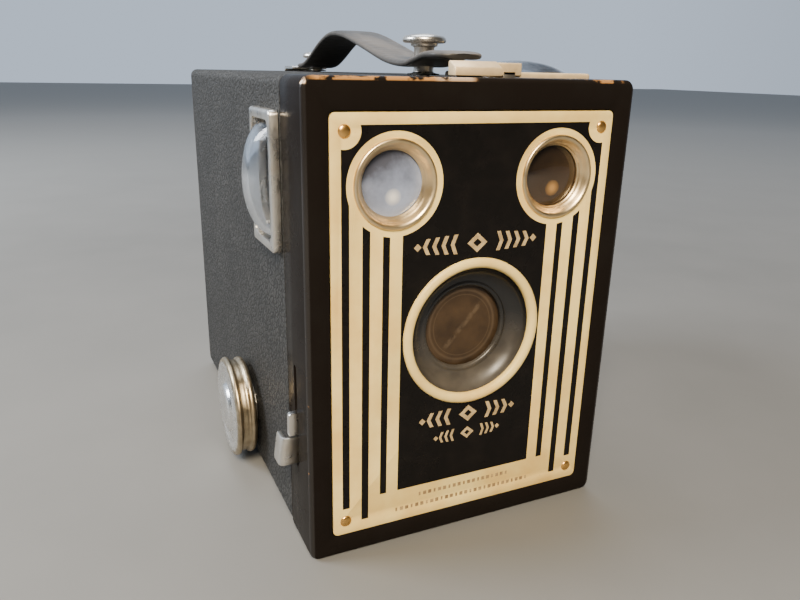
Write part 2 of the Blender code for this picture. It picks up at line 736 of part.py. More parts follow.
def takeup_spool():
    """A metal spool: a flange at each end, a key slot on the left and a bore on the right."""
    profile = [
        (0, -32.2), (11.3, -32.2), (11.3, -31.4), (4.8, -31.4), (4.8, 31.4), (11.3, 31.4), (11.3, 32.2),
        (2.9, 32.2), (2.9, 28.6), (0, 28.6),
    ]
    centre = (0, SPOOL_DEPTH, TAKEUP_HEIGHT)
    spool = turned("takeup_spool", "X", centre, profile, DARK_STEEL, 20)
    key_slot = box("key_slot", (-34, -28.2), span(SPOOL_DEPTH, 2.2), span(TAKEUP_HEIGHT, 5.4))
    cut(spool, key_slot)


# ---------------------------------------------------------------- winding knob


def winding_knob():
    centre = (-38, SPOOL_DEPTH, TAKEUP_HEIGHT)
    bushing = [(2.6, -38.5), (6.0, -38.5), (6.0, -38.0), (3.6, -38.0), (3.6, -35.4), (2.6, -35.4)]
    turned("knob_bushing", "X", centre, bushing, NICKEL, 16)
    collar = [(2.6, -39.25), (6.6, -39.25), (6.6, -38.65), (2.6, -38.65)]
    turned("knob_collar", "X", centre, collar, STEEL, 16)
    knob = [
        (0, -44.0), (2.55, -44.0), (2.55, -39.4), (12.7, -39.4), (12.9, -40.6), (12.0, -41.4), (12.2, -43.0),
        (KNOB_RADIUS, -43.7), (13.2, -44.5), (12.2, -44.9), (10.6, -44.9), (10.1, -44.4), (6.9, -44.4),
        (6.3, -45.5), (5.3, -45.95), (0, -46.0),
    ]
    turned("winding_knob", "X", centre, knob, NICKEL, 28)
    shaft = [(0, -43.9), (2.3, -43.9), (2.3, -29.0), (0, -29.0)]
    stem = turned("winding_shaft", "X", centre, shaft, STEEL, 16)
    for sign in (-1, 1):
        flat = box(
            f"key_flat_{sign}",
            (-33.4, -28),
            sorted((SPOOL_DEPTH + sign * 0.75, SPOOL_DEPTH + sign * 5)),
            (TAKEUP_HEIGHT - 5, TAKEUP_HEIGHT + 5),
        )
        cut(stem, flat)


# ---------------------------------------------------------------- back door


def back_door():
    """A flat door with an inner flange that laps inside the shell as a light trap."""
    half = BODY_WIDTH / 2 - 0.1
    outline = rounded((-half, half), (1.0, BODY_HEIGHT - 0.1), 2.0)
    film_window = circle(0, LENS_HEIGHT, 5.6, 24)
    door = sheet(
        "back_door", "XZ", [outline, film_window], (DOOR_DEPTH, DOOR_DEPTH + DOOR_WALL), DARK_STEEL
    )
    lap = BODY_WIDTH / 2 - COVER_WALL - GAP - SHELL_WALL - 0.3
    flange = sheet(
        "door_flange",
        "XZ",
        [
            rounded((-lap, lap), (2.5, BODY_HEIGHT - 2.6), 1.4, 2),
            rounded((-lap + 0.8, lap - 0.8), (3.3, BODY_HEIGHT - 3.4), 0.6, 2),
        ],
        (113.0, DOOR_DEPTH + 0.4),
    )
    join(door, flange)
    skin_face = DOOR_DEPTH + DOOR_WALL + GAP
    skin = rounded((-half + 0.2, half - 0.2), (7.7, BODY_HEIGHT - 0.3), 1.8)
    skin_end = skin_face + 0.6
    clear = circle(0, LENS_HEIGHT, 7.8, 24)
    sheet("door_leatherette", "XZ", [skin, clear], (skin_face, skin_end), LEATHERETTE)
    centre = (0, DOOR_DEPTH, LENS_HEIGHT)
    inside = DOOR_DEPTH - 0.1
    pane = [(0, inside - 0.7), (7.2, inside - 0.7), (7.2, inside), (0, inside)]
    turned("red_window", "Y", centre, pane, RED_GLASS, 16)
    eyelet = [(5.4, skin_face), (7.5, skin_face), (7.5, skin_end), (6.9, skin_end + 0.3), (5.4, skin_end)]
    turned("window_eyelet", "Y", centre, eyelet, BRASS, 20)


def knuckle(name, xs, depth, height, outer, inner, finish=None):
    """A tube along X that a hinge pin runs through."""
    low, high = xs
    profile = [(inner, low), (outer, low), (outer, high), (inner, high)]
    return turned(name, "X", (0, depth, height), profile, finish, 12)


def door_hinge():
    outer, inner, pin_radius = 1.15, 0.75, 0.55
    notch = 16.0
    reach = 30.0
    leaf = [
        (-reach, 112.6), (reach, 112.6), (reach, HINGE_DEPTH), (notch, HINGE_DEPTH), (notch, 119.2),
        (-notch, 119.2), (-notch, HINGE_DEPTH), (-reach, HINGE_DEPTH),
    ]
    bottom = HINGE_HEIGHT - outer
    fixed = sheet("body_hinge_leaf", "XY", [leaf], (bottom, bottom + 0.4), STEEL)
    join(
        fixed,
        knuckle("fixed_knuckle_left", (-reach, -notch), HINGE_DEPTH, HINGE_HEIGHT, outer, inner),
        knuckle("fixed_knuckle_right", (notch, reach), HINGE_DEPTH, HINGE_HEIGHT, outer, inner),
    )
    width = (-notch + 0.3, notch - 0.3)
    moving = knuckle("door_hinge_leaf", width, HINGE_DEPTH, HINGE_HEIGHT, outer, inner, STEEL)
    face = HINGE_DEPTH - outer
    join(moving, box("door_leaf", width, (face, face + 0.38), (HINGE_HEIGHT, 7.3)))
    pin = [(0, -reach - 0.4), (pin_radius, -reach - 0.4), (pin_radius, reach + 0.4), (0, reach + 0.4)]
    turned("hinge_pin", "X", (0, HINGE_DEPTH, HINGE_HEIGHT), pin, STEEL, 10)


def door_latch():
    """A sprung latch: it turns on a bracket on the door, and its finger laps over the top of the case."""
    outer, inner, pin_radius = 1.2, 0.85, 0.6
    base = 120.85
    axis = LATCH_HEIGHT
    bracket = box("latch_bracket", (-7.3, 7.3), (base, base + 0.4), (axis - 7.5, axis - 1.9), NICKEL)
    lug = [
        (base, axis - 7.0), (122.0, axis - 3.0), (123.2, axis - 0.7), (123.0, axis + 0.9), (121.4, axis + 1.1),
        (base, axis - 0.1),
    ]
    for side in (-1, 1):
        between = sorted((side * 6.3, side * 7.3))
        join(bracket, sheet(f"latch_lug_{side}", "YZ", [lug], between))
    pin = [(0, -6.8), (pin_radius, -6.8), (pin_radius, 6.8), (0, 6.8)]
    join(bracket, turned("latch_pin", "X", (0, LATCH_DEPTH, axis), pin, None, 10))
    rear = LATCH_DEPTH + outer
    half = 5.9
    latch = knuckle("door_latch", (-half, half), LATCH_DEPTH, axis, outer, inner, NICKEL)
    under = BODY_HEIGHT + 0.7
    over = under + 0.8
    finger = [
        (rear, axis), (rear, over - 1.1), (rear - 0.4, over - 0.3), (rear - 1.2, over), (114.2, over),
        (113.6, over - 0.3), (113.6, under), (rear - 1.4, under), (rear - 0.4, under - 0.7), (rear - 0.4, axis),
    ]
    join(latch, sheet("latch_finger", "YZ", [finger], (-half, half)))


# ---------------------------------------------------------------- strap


def smooth_route(points, steps=4):
    """A smooth curve through the points (Catmull-Rom)."""
    ends = [points[0], *points, points[-1]]
    route = []
    for a, b, c, d in zip(ends, ends[1:], ends[2:], ends[3:]):
        for step in range(steps):
            t = step / steps
            route.append(
                tuple(
                    q
                    + 0.5 * (r - p) * t
                    + 0.5 * (2 * p - 5 * q + 4 * r - s) * t**2
                    + 0.5 * (3 * q - p - 3 * r + s) * t**3
                    for p, q, r, s in zip(a, b, c, d)
                )
            )
    return [*route, points[-1]]


def strap():
    """A leather carrying strap, arched between its two studs, with its front tip curled up past the stud."""
    middle_line = [
        (9.2, 106.5), (12.5, 106.9), (17.0, 106.9), (22.0, 106.0), (28.0, 105.1), (38.0, 106.0),
        (52.0, 109.2), (64.0, 111.9), (72.0, 112.9), (79.0, 112.6), (87.0, 110.4), (96.0, 106.8),
        (103.0, 104.7), (111.5, 104.2),
    ]
    route = smooth_route(middle_line, 2)
    upper, lower = [], []
    for before, here, after in zip([route[0], *route], route, [*route[1:], route[-1]]):
        direction = Vector((after[0] - before[0], after[1] - before[1])).normalized()
        offset = Vector((-direction.y, direction.x)) * STRAP_THICKNESS / 2
        upper.append((here[0] + offset.x, here[1] + offset.y))
        lower.append((here[0] - offset.x, here[1] - offset.y))
    band = sheet("strap", "YZ", [upper + lower[::-1]], (-STRAP_WIDTH / 2, STRAP_WIDTH / 2), LEATHER)
    for end, depth in STUD_DEPTHS.items():
        cut(band, hole(f"strap_hole_{end}", "Z", (0, depth, 104), 2.9, (95, 120), 12))


def strap_studs():
    """Headed studs: a flange on the case, a neck through the strap and a rivet head inside the case."""
    top = BODY_HEIGHT + 0.1
    inner_head = [(0, top - 3.1), (2.6, top - 3.1), (2.6, top - 2.2), (1.6, top - 2.2), (1.6, top)]
    for end, flange, neck, shoulder, cap_radius, cap in (
        ("front", 4.0, 2.3, 3.1, 5.0, 109.5),
        ("rear", 3.4, 2.1, 2.6, 4.2, 106.6),
    ):
        profile = inner_head + [
            (flange, top), (flange, top + 0.3), (neck, top + 0.7), (neck, cap - 0.9), (shoulder, cap - 0.7),
            (shoulder, cap), (cap_radius - 0.3, cap), (cap_radius, cap + 0.7), (cap_radius - 0.5, cap + 1.5),
            (0, cap + 2.0),
        ]
        turned(f"strap_stud_{end}", "Z", (0, STUD_DEPTHS[end], 100), profile, NICKEL, 16)


def main():
    body_shell()
    side_leatherette()
    bottom_leatherette()
    front_cover()
    faceplate()
    faceplate_nails()
    lens_front()
    shutter_plate()
    meniscus()
    pivot_pin("lever_pivot", LEVER_PIVOT, 6.9)
    pivot_pin("disc_pivot", DISC_PIVOT, 8.4)
    release_lever()
    shutter_spring()
    shutter_disc()
    slides()
    finders()
    carrier_plates()
    light_cone()
    film_gate()
    spool_pins()
    film_rollers()
    takeup_spool()
    winding_knob()
    back_door()
    door_hinge()
    door_latch()
    strap()
    strap_studs()


clear_scene()
PARTS = new_collection(OBJECT_NAME)
CUTTERS = new_collection("cutters")
main()
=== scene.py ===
"""The look of the box camera: fine visible pieces and procedural materials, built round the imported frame.

The frame is in metres, with +Z up and the lens looking along -Y. Sizes below are in millimetres, and a depth
is measured back from the front of the cover. at() turns them into the frame's metres.
"""

import functools
import math

import bmesh
import bpy
from mathutils import Euler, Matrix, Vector


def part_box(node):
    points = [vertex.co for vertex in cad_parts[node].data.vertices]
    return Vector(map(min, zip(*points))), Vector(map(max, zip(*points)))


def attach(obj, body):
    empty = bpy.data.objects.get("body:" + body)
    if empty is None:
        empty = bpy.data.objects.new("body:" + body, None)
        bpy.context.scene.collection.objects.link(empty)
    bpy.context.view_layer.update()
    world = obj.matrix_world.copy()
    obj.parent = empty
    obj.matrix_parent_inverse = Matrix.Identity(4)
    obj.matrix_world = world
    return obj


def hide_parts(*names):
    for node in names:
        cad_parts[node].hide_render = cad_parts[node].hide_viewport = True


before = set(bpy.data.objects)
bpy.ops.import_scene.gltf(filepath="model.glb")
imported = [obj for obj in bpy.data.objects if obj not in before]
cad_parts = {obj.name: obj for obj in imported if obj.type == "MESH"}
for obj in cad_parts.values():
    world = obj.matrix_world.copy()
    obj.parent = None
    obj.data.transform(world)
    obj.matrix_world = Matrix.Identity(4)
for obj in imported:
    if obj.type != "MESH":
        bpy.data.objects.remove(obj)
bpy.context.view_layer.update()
MM = 0.001
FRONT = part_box("front_cover")[0].y


def millimetres(node):
    """A node's low and high corners, in millimetres, with the depth counted from the front of the cover."""
    return [Vector((p.x, p.y - FRONT, p.z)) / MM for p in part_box(node)]


def middle_of(node):
    low, high = millimetres(node)
    return (low + high) / 2


HALF_WIDTH, COVER_DEPTH, HEIGHT = millimetres("front_cover")[1]
PLATE_LOW, PLATE_HIGH = millimetres("faceplate")
LENS = middle_of("lens_rim")
FINDER = middle_of("finder_bezel_right")
KNOB = middle_of("winding_knob")
NAIL = middle_of("nail_upper_right")
LOWER_NAIL = middle_of("nail_lower_right")
WINDOWS = {name: middle_of(f"finder_frame_{name}") for name in ("side", "top")}
CASE_CORNER = 2.2
CASE_EDGE = 1.0
COVER_WALL = 0.8
# The finder windows' glass, frame opening and domed part, each long by short, and how far the dome rises.
PANE = (27.0, 15.4)
OPENING = (25.0, 13.4)
DOME = (24.4, 12.9)
DOME_RISE = {"side": 6.0, "top": 3.9}


def at(x, depth, height):
    return Vector((x * MM, FRONT + depth * MM, height * MM))


# ---------------------------------------------------------------- mesh helpers


def finish_mesh(thing, sharp_degrees=35.0):
    mesh = thing.data
    mesh.shade_smooth()
    mesh.set_sharp_from_angle(angle=math.radians(sharp_degrees))
    return thing


def mesh_object(name, shape, sharp_degrees=35.0):
    """The bmesh as an object, with its normals pointing out."""
    bmesh.ops.remove_doubles(shape, verts=shape.verts, dist=1e-7)
    bmesh.ops.recalc_face_normals(shape, faces=shape.faces)
    mesh = bpy.data.meshes.new(name)
    shape.to_mesh(mesh)
    shape.free()
    thing = bpy.data.objects.new(name, mesh)
    bpy.context.scene.collection.objects.link(thing)
    return finish_mesh(thing, sharp_degrees)


def loft(name, loops, around=True, capped=False, sharp_degrees=35.0):
    """Faces between one loop of points and the next.

    around joins the last loop to the first, and capped fills both ends.
    """
    shape = bmesh.new()
    rings = [[shape.verts.new(point) for point in loop] for loop in loops]
    pairs = list(zip(rings, rings[1:]))
    if around:
        pairs.append((rings[-1], rings[0]))
    for first, second in pairs:
        for k in range(len(first)):
            shape.faces.new((first[k - 1], first[k], second[k], second[k - 1]))
    if capped:
        shape.faces.new(rings[0])
        shape.faces.new(rings[-1][::-1])
    return mesh_object(name, shape, sharp_degrees)


def lathe(name, axis, centre, profile, steps, sharp_degrees=35.0):
    """A closed profile of (radius, position along the axis) turned about X, Y or Z through centre."""
    solid = profile[0][0] == 0 and profile[-1][0] == 0
    shape = bmesh.new()
    rings = []
    for radius, along in profile:
        ring = []
        for k in range(1 if radius == 0 else steps):
            turn = 2 * math.pi * k / steps
            a, b = radius * math.cos(turn), radius * math.sin(turn)
            place = {
                "X": (along, centre[1] + a, centre[2] + b),
                "Y": (centre[0] + a, along, centre[2] + b),
                "Z": (centre[0] + a, centre[1] + b, along),
            }[axis]
            ring.append(shape.verts.new(at(*place)))
        rings.append(ring)
    pairs = list(zip(rings, rings[1:]))
    if not solid:
        pairs.append((rings[-1], rings[0]))
    for first, second in pairs:
        for k in range(steps):
            a, b = first[k % len(first)], first[(k + 1) % len(first)]
            c, d = second[(k + 1) % len(second)], second[k % len(second)]
            corners = list(dict.fromkeys((a, b, c, d)))
            if len(corners) > 2:
                shape.faces.new(corners)
    return mesh_object(name, shape, sharp_degrees)


def applied(thing):
    """The object with its modifiers made real."""
    graph = bpy.context.evaluated_depsgraph_get()
    mesh = bpy.data.meshes.new_from_object(thing.evaluated_get(graph))
    thing.modifiers.clear()
    thing.data = mesh
    return thing


def cut(thing, *cutters):
    for cutter in cutters:
        modifier = thing.modifiers.new("cut", "BOOLEAN")
        modifier.operation = "DIFFERENCE"
        modifier.solver = "EXACT"
        modifier.object = cutter
    applied(thing)
    for cutter in cutters:
        bpy.data.objects.remove(cutter)
    return finish_mesh(thing)


def bevelled(thing, width, segments=2):
    modifier = thing.modifiers.new("edges", "BEVEL")
    modifier.width = width * MM
    modifier.segments = segments
    modifier.limit_method = "ANGLE"
    modifier.angle_limit = math.radians(40)
    return finish_mesh(applied(thing))


def block(name, xs, depths, heights):
    corners = [(xs[0], heights[0]), (xs[1], heights[0]), (xs[1], heights[1]), (xs[0], heights[1])]
    return loft(name, [[at(x, d, z) for x, z in corners] for d in depths], around=False, capped=True)


def outline_point(plane, a, b, c):
    """A point from two outline values and its place on the plane's normal."""
    return {"XZ": at(a, c, b), "YZ": at(c, a, b), "XY": at(a, b, c)}[plane]


def sheet(name, plane, loops, between, bevel=0.0):
    """A flat outline with any holes or islands, extruded between two values on the plane's normal."""
    curve = bpy.data.curves.new(name, "CURVE")
    curve.dimensions = "2D"
    curve.fill_mode = "BOTH"
    curve.extrude = abs(between[1] - between[0]) / 2
    for loop in loops:
        spline = curve.splines.new("POLY")
        spline.points.add(len(loop) - 1)
        for point, (a, b) in zip(spline.points, loop):
            point.co = (a, b, 0.0, 1.0)
        spline.use_cyclic_u = True
    maker = bpy.data.objects.new(name, curve)
    bpy.context.scene.collection.objects.link(maker)
    graph = bpy.context.evaluated_depsgraph_get()
    flat = bpy.data.meshes.new_from_object(maker.evaluated_get(graph))
    bpy.data.objects.remove(maker)
    bpy.data.curves.remove(curve)
    shape = bmesh.new()
    shape.from_mesh(flat)
    bpy.data.meshes.remove(flat)
    middle = sum(between) / 2
    bmesh.ops.remove_doubles(shape, verts=shape.verts, dist=1e-4)
    for vert in shape.verts:
        vert.co = outline_point(plane, vert.co.x, vert.co.y, middle + vert.co.z)
    thing = mesh_object(name, shape)
    return bevelled(thing, bevel) if bevel else thing


def arc(x, y, radius, start, end, steps):
    """Points on a circle, from one angle in degrees to another."""
    angles = (math.radians(start + (end - start) * k / steps) for k in range(steps + 1))
    return [(x + radius * math.cos(t), y + radius * math.sin(t)) for t in angles]


def circle(x, y, radius, count=96):
    return arc(x, y, radius, 0, 360 * (count - 1) / count, count - 1)


def rounded(low, high, radius, corner_steps=8):
    """A rectangle from corner low to corner high with round corners, as points, counter-clockwise."""
    r = radius
    return [
        *arc(high[0] - r, high[1] - r, r, 0, 90, corner_steps),
        *arc(low[0] + r, high[1] - r, r, 90, 180, corner_steps),
        *arc(low[0] + r, low[1] + r, r, 180, 270, corner_steps),
        *arc(high[0] - r, low[1] + r, r, 270, 360, corner_steps),
    ]


def smooth_route(points, steps):
    """A smooth curve through the points (Catmull-Rom)."""
    ends = [points[0], *points, points[-1]]
    route = []
    for four in zip(ends, ends[1:], ends[2:], ends[3:]):
        for step in range(steps):
            route.append(tuple(smooth_value(step / steps, *values) for values in zip(*four)))
    return [*route, points[-1]]


def smooth_value(t, p, q, r, s):
    """The value that share t of the way from q to r, where p comes before them and s after."""
    slope = r - p
    bend = 2 * p - 5 * q + 4 * r - s
    twist = 3 * q - p - 3 * r + s
    return 0.5 * (2 * q + slope * t + bend * t**2 + twist * t**3)


# ---------------------------------------------------------------- materials


class Paint:
    """A Principled material under construction. Pattern sizes are in millimetres."""

    def __init__(self, name, colour, roughness, metallic=0.0, **sockets):
        self.material = bpy.data.materials.new(name)
        self.material.use_nodes = True
        self.tree = self.material.node_tree
        self.shader = self.tree.nodes["Principled BSDF"]
        self.shader.inputs["Base Color"].default_value = (*colour, 1.0)
        self.shader.inputs["Roughness"].default_value = roughness
        self.shader.inputs["Metallic"].default_value = metallic
        for socket, value in sockets.items():
            self.shader.inputs[socket.replace("_", " ")].default_value = value
        self.place = self.node("ShaderNodeTexCoord").outputs["Object"]

    def node(self, kind, **settings):
        made = self.tree.nodes.new(kind)
        for name, value in settings.items():
            setattr(made, name, value)
        return made

    def feed(self, socket, value):
        if isinstance(value, bpy.types.NodeSocket):
            self.tree.links.new(value, socket)
        else:
            socket.default_value = value

    def math(self, operation, a, b=0.0):
        made = self.node("ShaderNodeMath", operation=operation)
        for socket, value in zip(made.inputs, (a, b)):
            self.feed(socket, value)
        return made.outputs[0]

    def stretched(self, scale):
        made = self.node("ShaderNodeMapping")
        self.feed(made.inputs["Vector"], self.place)
        made.inputs["Scale"].default_value = scale
        return made.outputs[0]

    def noise(self, size, detail, stretch=(1, 1, 1)):
        made = self.node("ShaderNodeTexNoise")
        self.feed(made.inputs["Vector"], self.stretched(stretch))
        made.inputs["Scale"].default_value = 1 / (size * MM)
        made.inputs["Detail"].default_value = detail
        made.inputs["Roughness"].default_value = 0.55
        return made.outputs[0]

    def cells(self, size, feature):
        made = self.node("ShaderNodeTexVoronoi", feature=feature)
        self.feed(made.inputs["Vector"], self.place)
        made.inputs["Scale"].default_value = 1 / (size * MM)
        return made.outputs["Distance"]

    def span(self, value, low, high, to_low=0.0, to_high=1.0):
        """value from low..high to to_low..to_high, held at the ends."""
        made = self.node("ShaderNodeMapRange")
        for name, number in (("From Min", low), ("From Max", high), ("To Min", to_low), ("To Max", to_high)):
            made.inputs[name].default_value = number
        self.feed(made.inputs["Value"], value)
        return made.outputs[0]

    def mottle(self, size, detail, low, high, to_low=0.0, to_high=1.0):
        """Noise whose values low..high become to_low..to_high."""
        return self.span(self.noise(size, detail), low, high, to_low, to_high)

    def distance(self, a, b):
        """How far a point is from an axis, from its two offsets."""
        return self.math("SQRT", self.plus(self.times(a, a), self.times(b, b)))

    def axes(self):
        made = self.node("ShaderNodeSeparateXYZ")
        self.feed(made.inputs[0], self.place)
        return made.outputs

    def between(self, value, low, high, soft):
        """1 where value is between low and high, in millimetres, fading over soft."""
        rise = self.span(value, (low - soft) * MM, low * MM)
        fall = self.span(value, high * MM, (high + soft) * MM, 1.0, 0.0)
        return self.times(rise, fall)

    def times(self, *values):
        return functools.reduce(lambda a, b: self.math("MULTIPLY", a, b), values)

    def most(self, *values):
        return functools.reduce(lambda a, b: self.math("MAXIMUM", a, b), values)

    def plus(self, a, b):
        return self.math("ADD", a, b)

    def minus(self, a, b):
        return self.math("SUBTRACT", a, b)

    def mix(self, share, a, b):
        made = self.node("ShaderNodeMix", data_type="RGBA")
        self.feed(made.inputs[0], share)
        for socket, colour in ((made.inputs[6], a), (made.inputs[7], b)):
            self.feed(socket, (*colour, 1.0) if isinstance(colour, tuple) else colour)
        return made.outputs[2]

    def colour(self, value):
        self.feed(self.shader.inputs["Base Color"], value)

    def roughness(self, value):
        self.feed(self.shader.inputs["Roughness"], value)

    def metallic(self, value):
        self.feed(self.shader.inputs["Metallic"], value)

    def bump(self, height, strength, distance):
        made = self.node("ShaderNodeBump")
        made.inputs["Strength"].default_value = strength
        made.inputs["Distance"].default_value = distance * MM
        self.feed(made.inputs["Height"], height)
        self.feed(self.shader.inputs["Normal"], made.outputs[0])


BLACK = (0.0098, 0.0078, 0.0068)
PLATE_BLACK = (0.0052, 0.0046, 0.0044)
RUST = (0.34, 0.17, 0.06)
BARE = (0.62, 0.50, 0.38)


def beyond(paint, x, start, end):
    """0 to 1 from start to end in millimetres, outwards on the left and on the right."""
    return paint.most(paint.span(x, start * MM, end * MM), paint.span(x, -start * MM, -end * MM))


def black_enamel():
    """Black baking enamel, polished at its rounded sides and worn to brown primer or metal along the top."""
    paint = Paint("black_enamel", BLACK, 0.25)
    x, y, z = paint.axes()
    depth = paint.minus(y, FRONT)
    patches = paint.noise(2.6, 4.0)
    edge = paint.times(paint.between(z, HEIGHT - 0.62, HEIGHT + 2, 0.2), paint.between(depth, -1, 0.75, 0.3))
    long_wear = paint.times(edge, paint.between(x, -35, -3.5, 2.0), paint.span(patches, 0.38, 0.48))
    right_wear = paint.times(edge, paint.between(x, 26, 33, 2.0), paint.span(patches, 0.46, 0.56))
    flecks = paint.times(
        beyond(paint, x, HALF_WIDTH - 0.7, HALF_WIDTH - 0.2),
        paint.between(depth, -1, 0.8, 0.3),
        paint.mottle(1.8, 5.0, 0.66, 0.70),
    )
    corner = paint.times(
        paint.between(z, HEIGHT - 1.3, HEIGHT + 2, 0.3),
        paint.between(x, -HALF_WIDTH - 1, -HALF_WIDTH + 0.8, 0.3),
        paint.between(depth, -1, 1.2, 0.3),
        paint.span(patches, 0.34, 0.46),
    )
    worn = paint.most(long_wear, right_wear, corner, paint.times(flecks, 0.6))
    bright = paint.times(paint.between(x, -10, -3, 1.5), long_wear)
    metal = paint.most(corner, paint.times(bright, 0.6))
    dusty = paint.mix(paint.mottle(9.0, 5.0, 0.45, 0.75, 0.0, 0.30), BLACK, (0.015, 0.0135, 0.0125))
    paint.colour(paint.mix(metal, paint.mix(worn, dusty, RUST), BARE))
    paint.metallic(paint.times(metal, 0.6))
    smears = paint.mottle(14.0, 6.0, 0.35, 0.7, 0.18, 0.34)
    paint.roughness(paint.most(smears, paint.times(worn, 0.45)))
    sides = beyond(paint, x, HALF_WIDTH - 1.1, HALF_WIDTH - 0.8)
    polished = paint.times(sides, paint.between(depth, -1, 0.75, 0.15))
    paint.feed(paint.shader.inputs["IOR"], paint.span(polished, 0.0, 1.0, 1.085, 1.55))
    relief = paint.times(worn, -0.5)
    paint.bump(paint.plus(paint.times(paint.noise(6.0, 2.0), 0.5), relief), 0.10, 0.3)
    return paint.material


def plate_black():
    """The faceplate's black enamel, a little duller than the cover's."""
    paint = Paint("plate_black", PLATE_BLACK, 0.28, IOR=1.25)
    dust = paint.mottle(5.0, 5.0, 0.45, 0.8, 0.0, 0.5)
    paint.colour(paint.mix(dust, PLATE_BLACK, (0.013, 0.0105, 0.0095)))
    paint.roughness(paint.mottle(8.0, 6.0, 0.35, 0.7, 0.22, 0.40))
    paint.bump(paint.noise(1.2, 2.0), 0.05, 0.1)
    return paint.material


def cream_enamel():
    """Yellowed cream enamel with faint stains and a few specks."""
    paint = Paint("cream_enamel", (0.80, 0.62, 0.36), 0.38, IOR=1.4)
    stain = paint.mottle(11.0, 5.0, 0.36, 0.72)
    aged = paint.mix(stain, (0.94, 0.73, 0.28), (0.80, 0.54, 0.17))
    specks = paint.mottle(0.9, 3.0, 0.70, 0.76, 0.0, 0.4)
    paint.colour(paint.mix(specks, aged, (0.32, 0.20, 0.10)))
    paint.roughness(paint.mottle(4.0, 4.0, 0.3, 0.7, 0.32, 0.50))
    paint.bump(paint.noise(0.8, 3.0), 0.06, 0.1)
    return paint.material


def print_ink(name, fresh, faded):
    """Thin printed enamel, rubbed unevenly."""
    paint = Paint(name, fresh, 0.5, IOR=1.35)
    paint.colour(paint.mix(paint.mottle(1.6, 4.0, 0.35, 0.7), fresh, faded))
    paint.roughness(paint.mottle(2.5, 4.0, 0.3, 0.7, 0.42, 0.6))
    paint.bump(paint.noise(0.7, 3.0), 0.05, 0.06)
    return paint.material


def leatherette():
    """Fine pebble grain pressed into coated paper, rubbed lighter on its high spots."""
    paint = Paint("leatherette_grain", (0.040, 0.040, 0.040), 0.6, IOR=1.35)
    pebbles = paint.cells(0.62, "SMOOTH_F1")
    creases = paint.cells(1.15, "DISTANCE_TO_EDGE")
    height = paint.minus(paint.span(creases, 0.0, 0.22), paint.times(pebbles, 0.7))
    height = paint.plus(height, paint.times(paint.noise(0.35, 2.0), 0.35))
    handled = paint.mottle(16.0, 4.0, 0.35, 0.75, 0.25, 1.0)
    rubbed = paint.times(paint.span(height, 0.2, 0.9), handled)
    scuffs = paint.mottle(2.4, 6.0, 0.67, 0.75, 0.0, 0.45)
    base = paint.mix(rubbed, (0.014, 0.014, 0.0138), (0.052, 0.051, 0.049))
    paint.colour(paint.mix(scuffs, base, (0.10, 0.095, 0.088)))
    paint.roughness(paint.span(height, 0.0, 1.0, 0.75, 0.50))
    paint.bump(height, 0.6, 0.24)
    return paint.material


def nickel():
    """Worn nickel plate: dull patches, hairline scratches and a warm cast where the brass shows through."""
    tint = (0.70, 0.675, 0.63)
    paint = Paint("nickel_plate", tint, 0.28, 1.0)
    warm = paint.mottle(4.5, 3.0, 0.45, 0.72, 0.0, 0.35)
    spots = paint.mottle(0.9, 3.0, 0.74, 0.82, 0.0, 0.3)
    paint.colour(paint.mix(spots, paint.mix(warm, tint, (0.56, 0.44, 0.30)), (0.30, 0.26, 0.22)))
    scratches = paint.noise(0.25, 2.0, stretch=(1, 1, 0.06))
    dull = paint.mottle(4.0, 3.0, 0.35, 0.7, 0.24, 0.38)
    paint.roughness(paint.plus(dull, paint.span(scratches, 0.55, 0.75, 0.0, 0.08)))
    paint.bump(scratches, 0.02, 0.05)
    return paint.material


def tab_metal_warm_reflection():
    """The slides' tabs: plating rubbed down to a pale, dull tan, the tan partly a painted reflection of warm
    light.
    """
    paint = Paint("tab_metal_warm_reflection", (0.84, 0.68, 0.47), 0.42, 0.35)
    # Painted reflection: the warm tan colours stand in partly for warm light reflected off the plating.
    paint.colour(paint.mix(paint.mottle(3.0, 4.0, 0.4, 0.75), (0.84, 0.64, 0.38), (0.66, 0.50, 0.30)))
    paint.roughness(paint.mottle(2.2, 4.0, 0.35, 0.7, 0.34, 0.52))
    paint.bump(paint.noise(0.8, 3.0), 0.05, 0.06)
    return paint.material


def brass(name, tint, tarnish, low=0.22, high=0.40):
    """Lacquered brass: smooth, with broad patches of tarnish."""
    paint = Paint(name, tint, low, 1.0)
    patches = paint.mottle(4.0, 3.0, 0.45, 0.75, 0.0, 0.6)
    paint.colour(paint.mix(patches, tint, tarnish))
    paint.roughness(paint.mottle(3.0, 3.0, 0.3, 0.7, low, high))
    paint.bump(paint.noise(0.8, 3.0), 0.04, 0.06)
    return paint.material


def knob_metal():
    """Turned nickel on the knob's face; on its edge the plating has gone and brown brass shows."""
    paint = Paint("knob_metal", (0.74, 0.72, 0.68), 0.25, 1.0)
    x, y, z = paint.axes()
    across = paint.minus(y, FRONT + KNOB.y * MM)
    up = paint.minus(z, KNOB.z * MM)
    reach = paint.distance(across, up)
    wobble = paint.times(paint.noise(3.0, 4.0), 1.2 * MM)
    edge = paint.span(paint.plus(reach, wobble), 12.6 * MM, 13.2 * MM)
    back = paint.span(x, -43.9 * MM, -43.2 * MM)
    plating = paint.most(edge, back)
    spots = paint.mottle(2.4, 3.0, 0.60, 0.76, 0.0, 0.35)
    face = paint.mix(spots, (0.80, 0.795, 0.78), (0.46, 0.43, 0.39))
    worn = paint.mix(paint.mottle(3.0, 3.0, 0.35, 0.7), (0.46, 0.38, 0.26), (0.27, 0.215, 0.14))
    paint.colour(paint.mix(plating, face, worn))
    rings = paint.math("SINE", paint.times(reach, 12000.0))
    dull = paint.mottle(2.2, 5.0, 0.35, 0.7, 0.18, 0.36)
    paint.roughness(paint.plus(dull, paint.times(plating, 0.12)))
    paint.bump(rings, 0.03, 0.05)
    return paint.material


